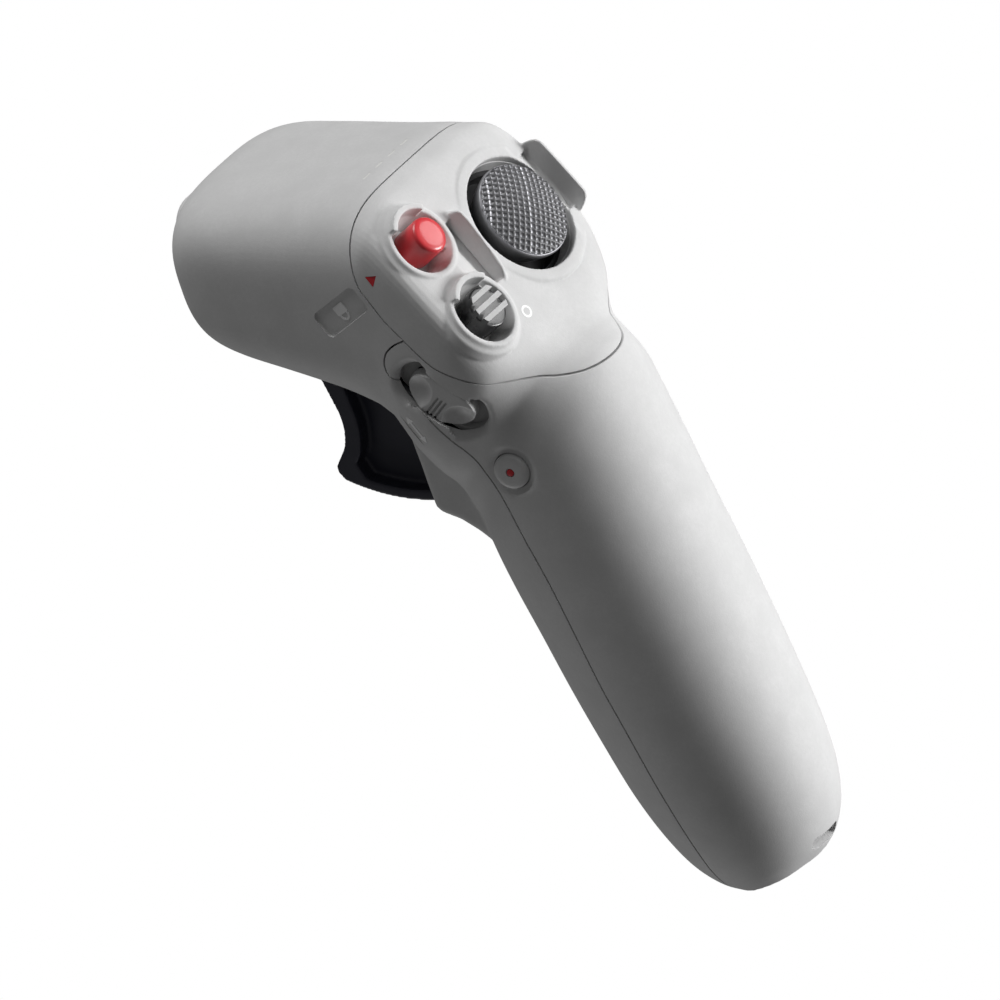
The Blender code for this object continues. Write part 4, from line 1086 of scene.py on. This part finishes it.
def area_light(name, way, distance, size, watts):
    """A round soft light that looks at the middle of the object from the direction way."""
    lamp = bpy.data.lights.new(name, 'AREA')
    lamp.shape = 'DISK'
    lamp.size = size
    lamp.energy = watts
    thing = bpy.data.objects.new(name, lamp)
    bpy.context.scene.collection.objects.link(thing)
    way = Vector(way).normalized()
    thing.location = point(0.0, 0.0, -30.0) + way * distance
    thing.rotation_mode = 'QUATERNION'
    thing.rotation_quaternion = way.to_track_quat('Z', 'Y')


def make_world():
    """White where the camera looks past the object, and dim where it lights it."""
    world = bpy.data.worlds.new("studio")
    world.use_nodes = True
    tree = world.node_tree
    tree.nodes.clear()
    out = tree.nodes.new('ShaderNodeOutputWorld')
    seen = add_node(tree, 'ShaderNodeBackground', Color=(1.0, 1.0, 1.0, 1.0), Strength=1.0)
    fill = add_node(tree, 'ShaderNodeBackground', Color=(1.0, 1.0, 1.0, 1.0), Strength=FILL)
    path = tree.nodes.new('ShaderNodeLightPath')
    mix = tree.nodes.new('ShaderNodeMixShader')
    tree.links.new(path.outputs['Is Camera Ray'], mix.inputs['Fac'])
    tree.links.new(fill.outputs[0], mix.inputs[1])
    tree.links.new(seen.outputs[0], mix.inputs[2])
    tree.links.new(mix.outputs[0], out.inputs['Surface'])
    bpy.context.scene.world = world


def make_floor():
    """A pale floor well below, so that the object is seen against plain white."""
    corners = ((-1, -1), (1, -1), (1, 1), (-1, 1))
    verts = [(a * FLOOR_HALF, b * FLOOR_HALF, FLOOR_LOW) for a, b in corners]
    floor = new_object("floor", verts, [(0, 1, 2, 3)])
    mat = bpy.data.materials.new("floor_white")
    mat.use_nodes = True
    tree = mat.node_tree
    tree.nodes.clear()
    out = tree.nodes.new('ShaderNodeOutputMaterial')
    glow = add_node(tree, 'ShaderNodeEmission', Color=(1.0, 1.0, 1.0, 1.0), Strength=1.0)
    tree.links.new(glow.outputs[0], out.inputs['Surface'])
    floor.data.materials.append(mat)
    floor.visible_diffuse = False
    floor.visible_glossy = False
    floor.visible_shadow = False


def make_camera():
    """A parallel view from the left, behind and above."""
    right = VIEW_RIGHT
    up = (VIEW_UP - right * VIEW_UP.dot(right)).normalized()
    back = right.cross(up)
    lens = bpy.data.cameras.new("camera")
    lens.type = 'ORTHO'
    lens.ortho_scale = VIEW_WIDTH
    lens.clip_end = 10.0
    camera = bpy.data.objects.new("camera", lens)
    bpy.context.scene.collection.objects.link(camera)
    turn = Matrix((right, up, back)).transposed().to_4x4()
    aim = point(0.0, 0.0, 0.0) + (right * VIEW_SHIFT[0] + up * VIEW_SHIFT[1]) * MM
    spot = aim + back * VIEW_AWAY
    camera.matrix_world = Matrix.Translation(spot) @ turn
    bpy.context.scene.camera = camera


probe = body_solid("probe")
SKIN = BVHTree.FromObject(probe, bpy.context.evaluated_depsgraph_get())
remove(probe)
build()
make_world()
make_floor()
make_camera()
area_light("key", (0.52, -0.84, -0.1), 0.9, 0.45, 8.9)
area_light("gloss", (0.719, -0.585, 0.377), 0.9, 0.4, 2.0)
area_light("overhead", (0.0, 0.2, 0.98), 0.9, 0.6, 5.3)
area_light("rim", (-0.25, 0.55, -0.8), 0.7, 0.3, 0.6)
bpy.context.scene.view_settings.view_transform = 'Standard'
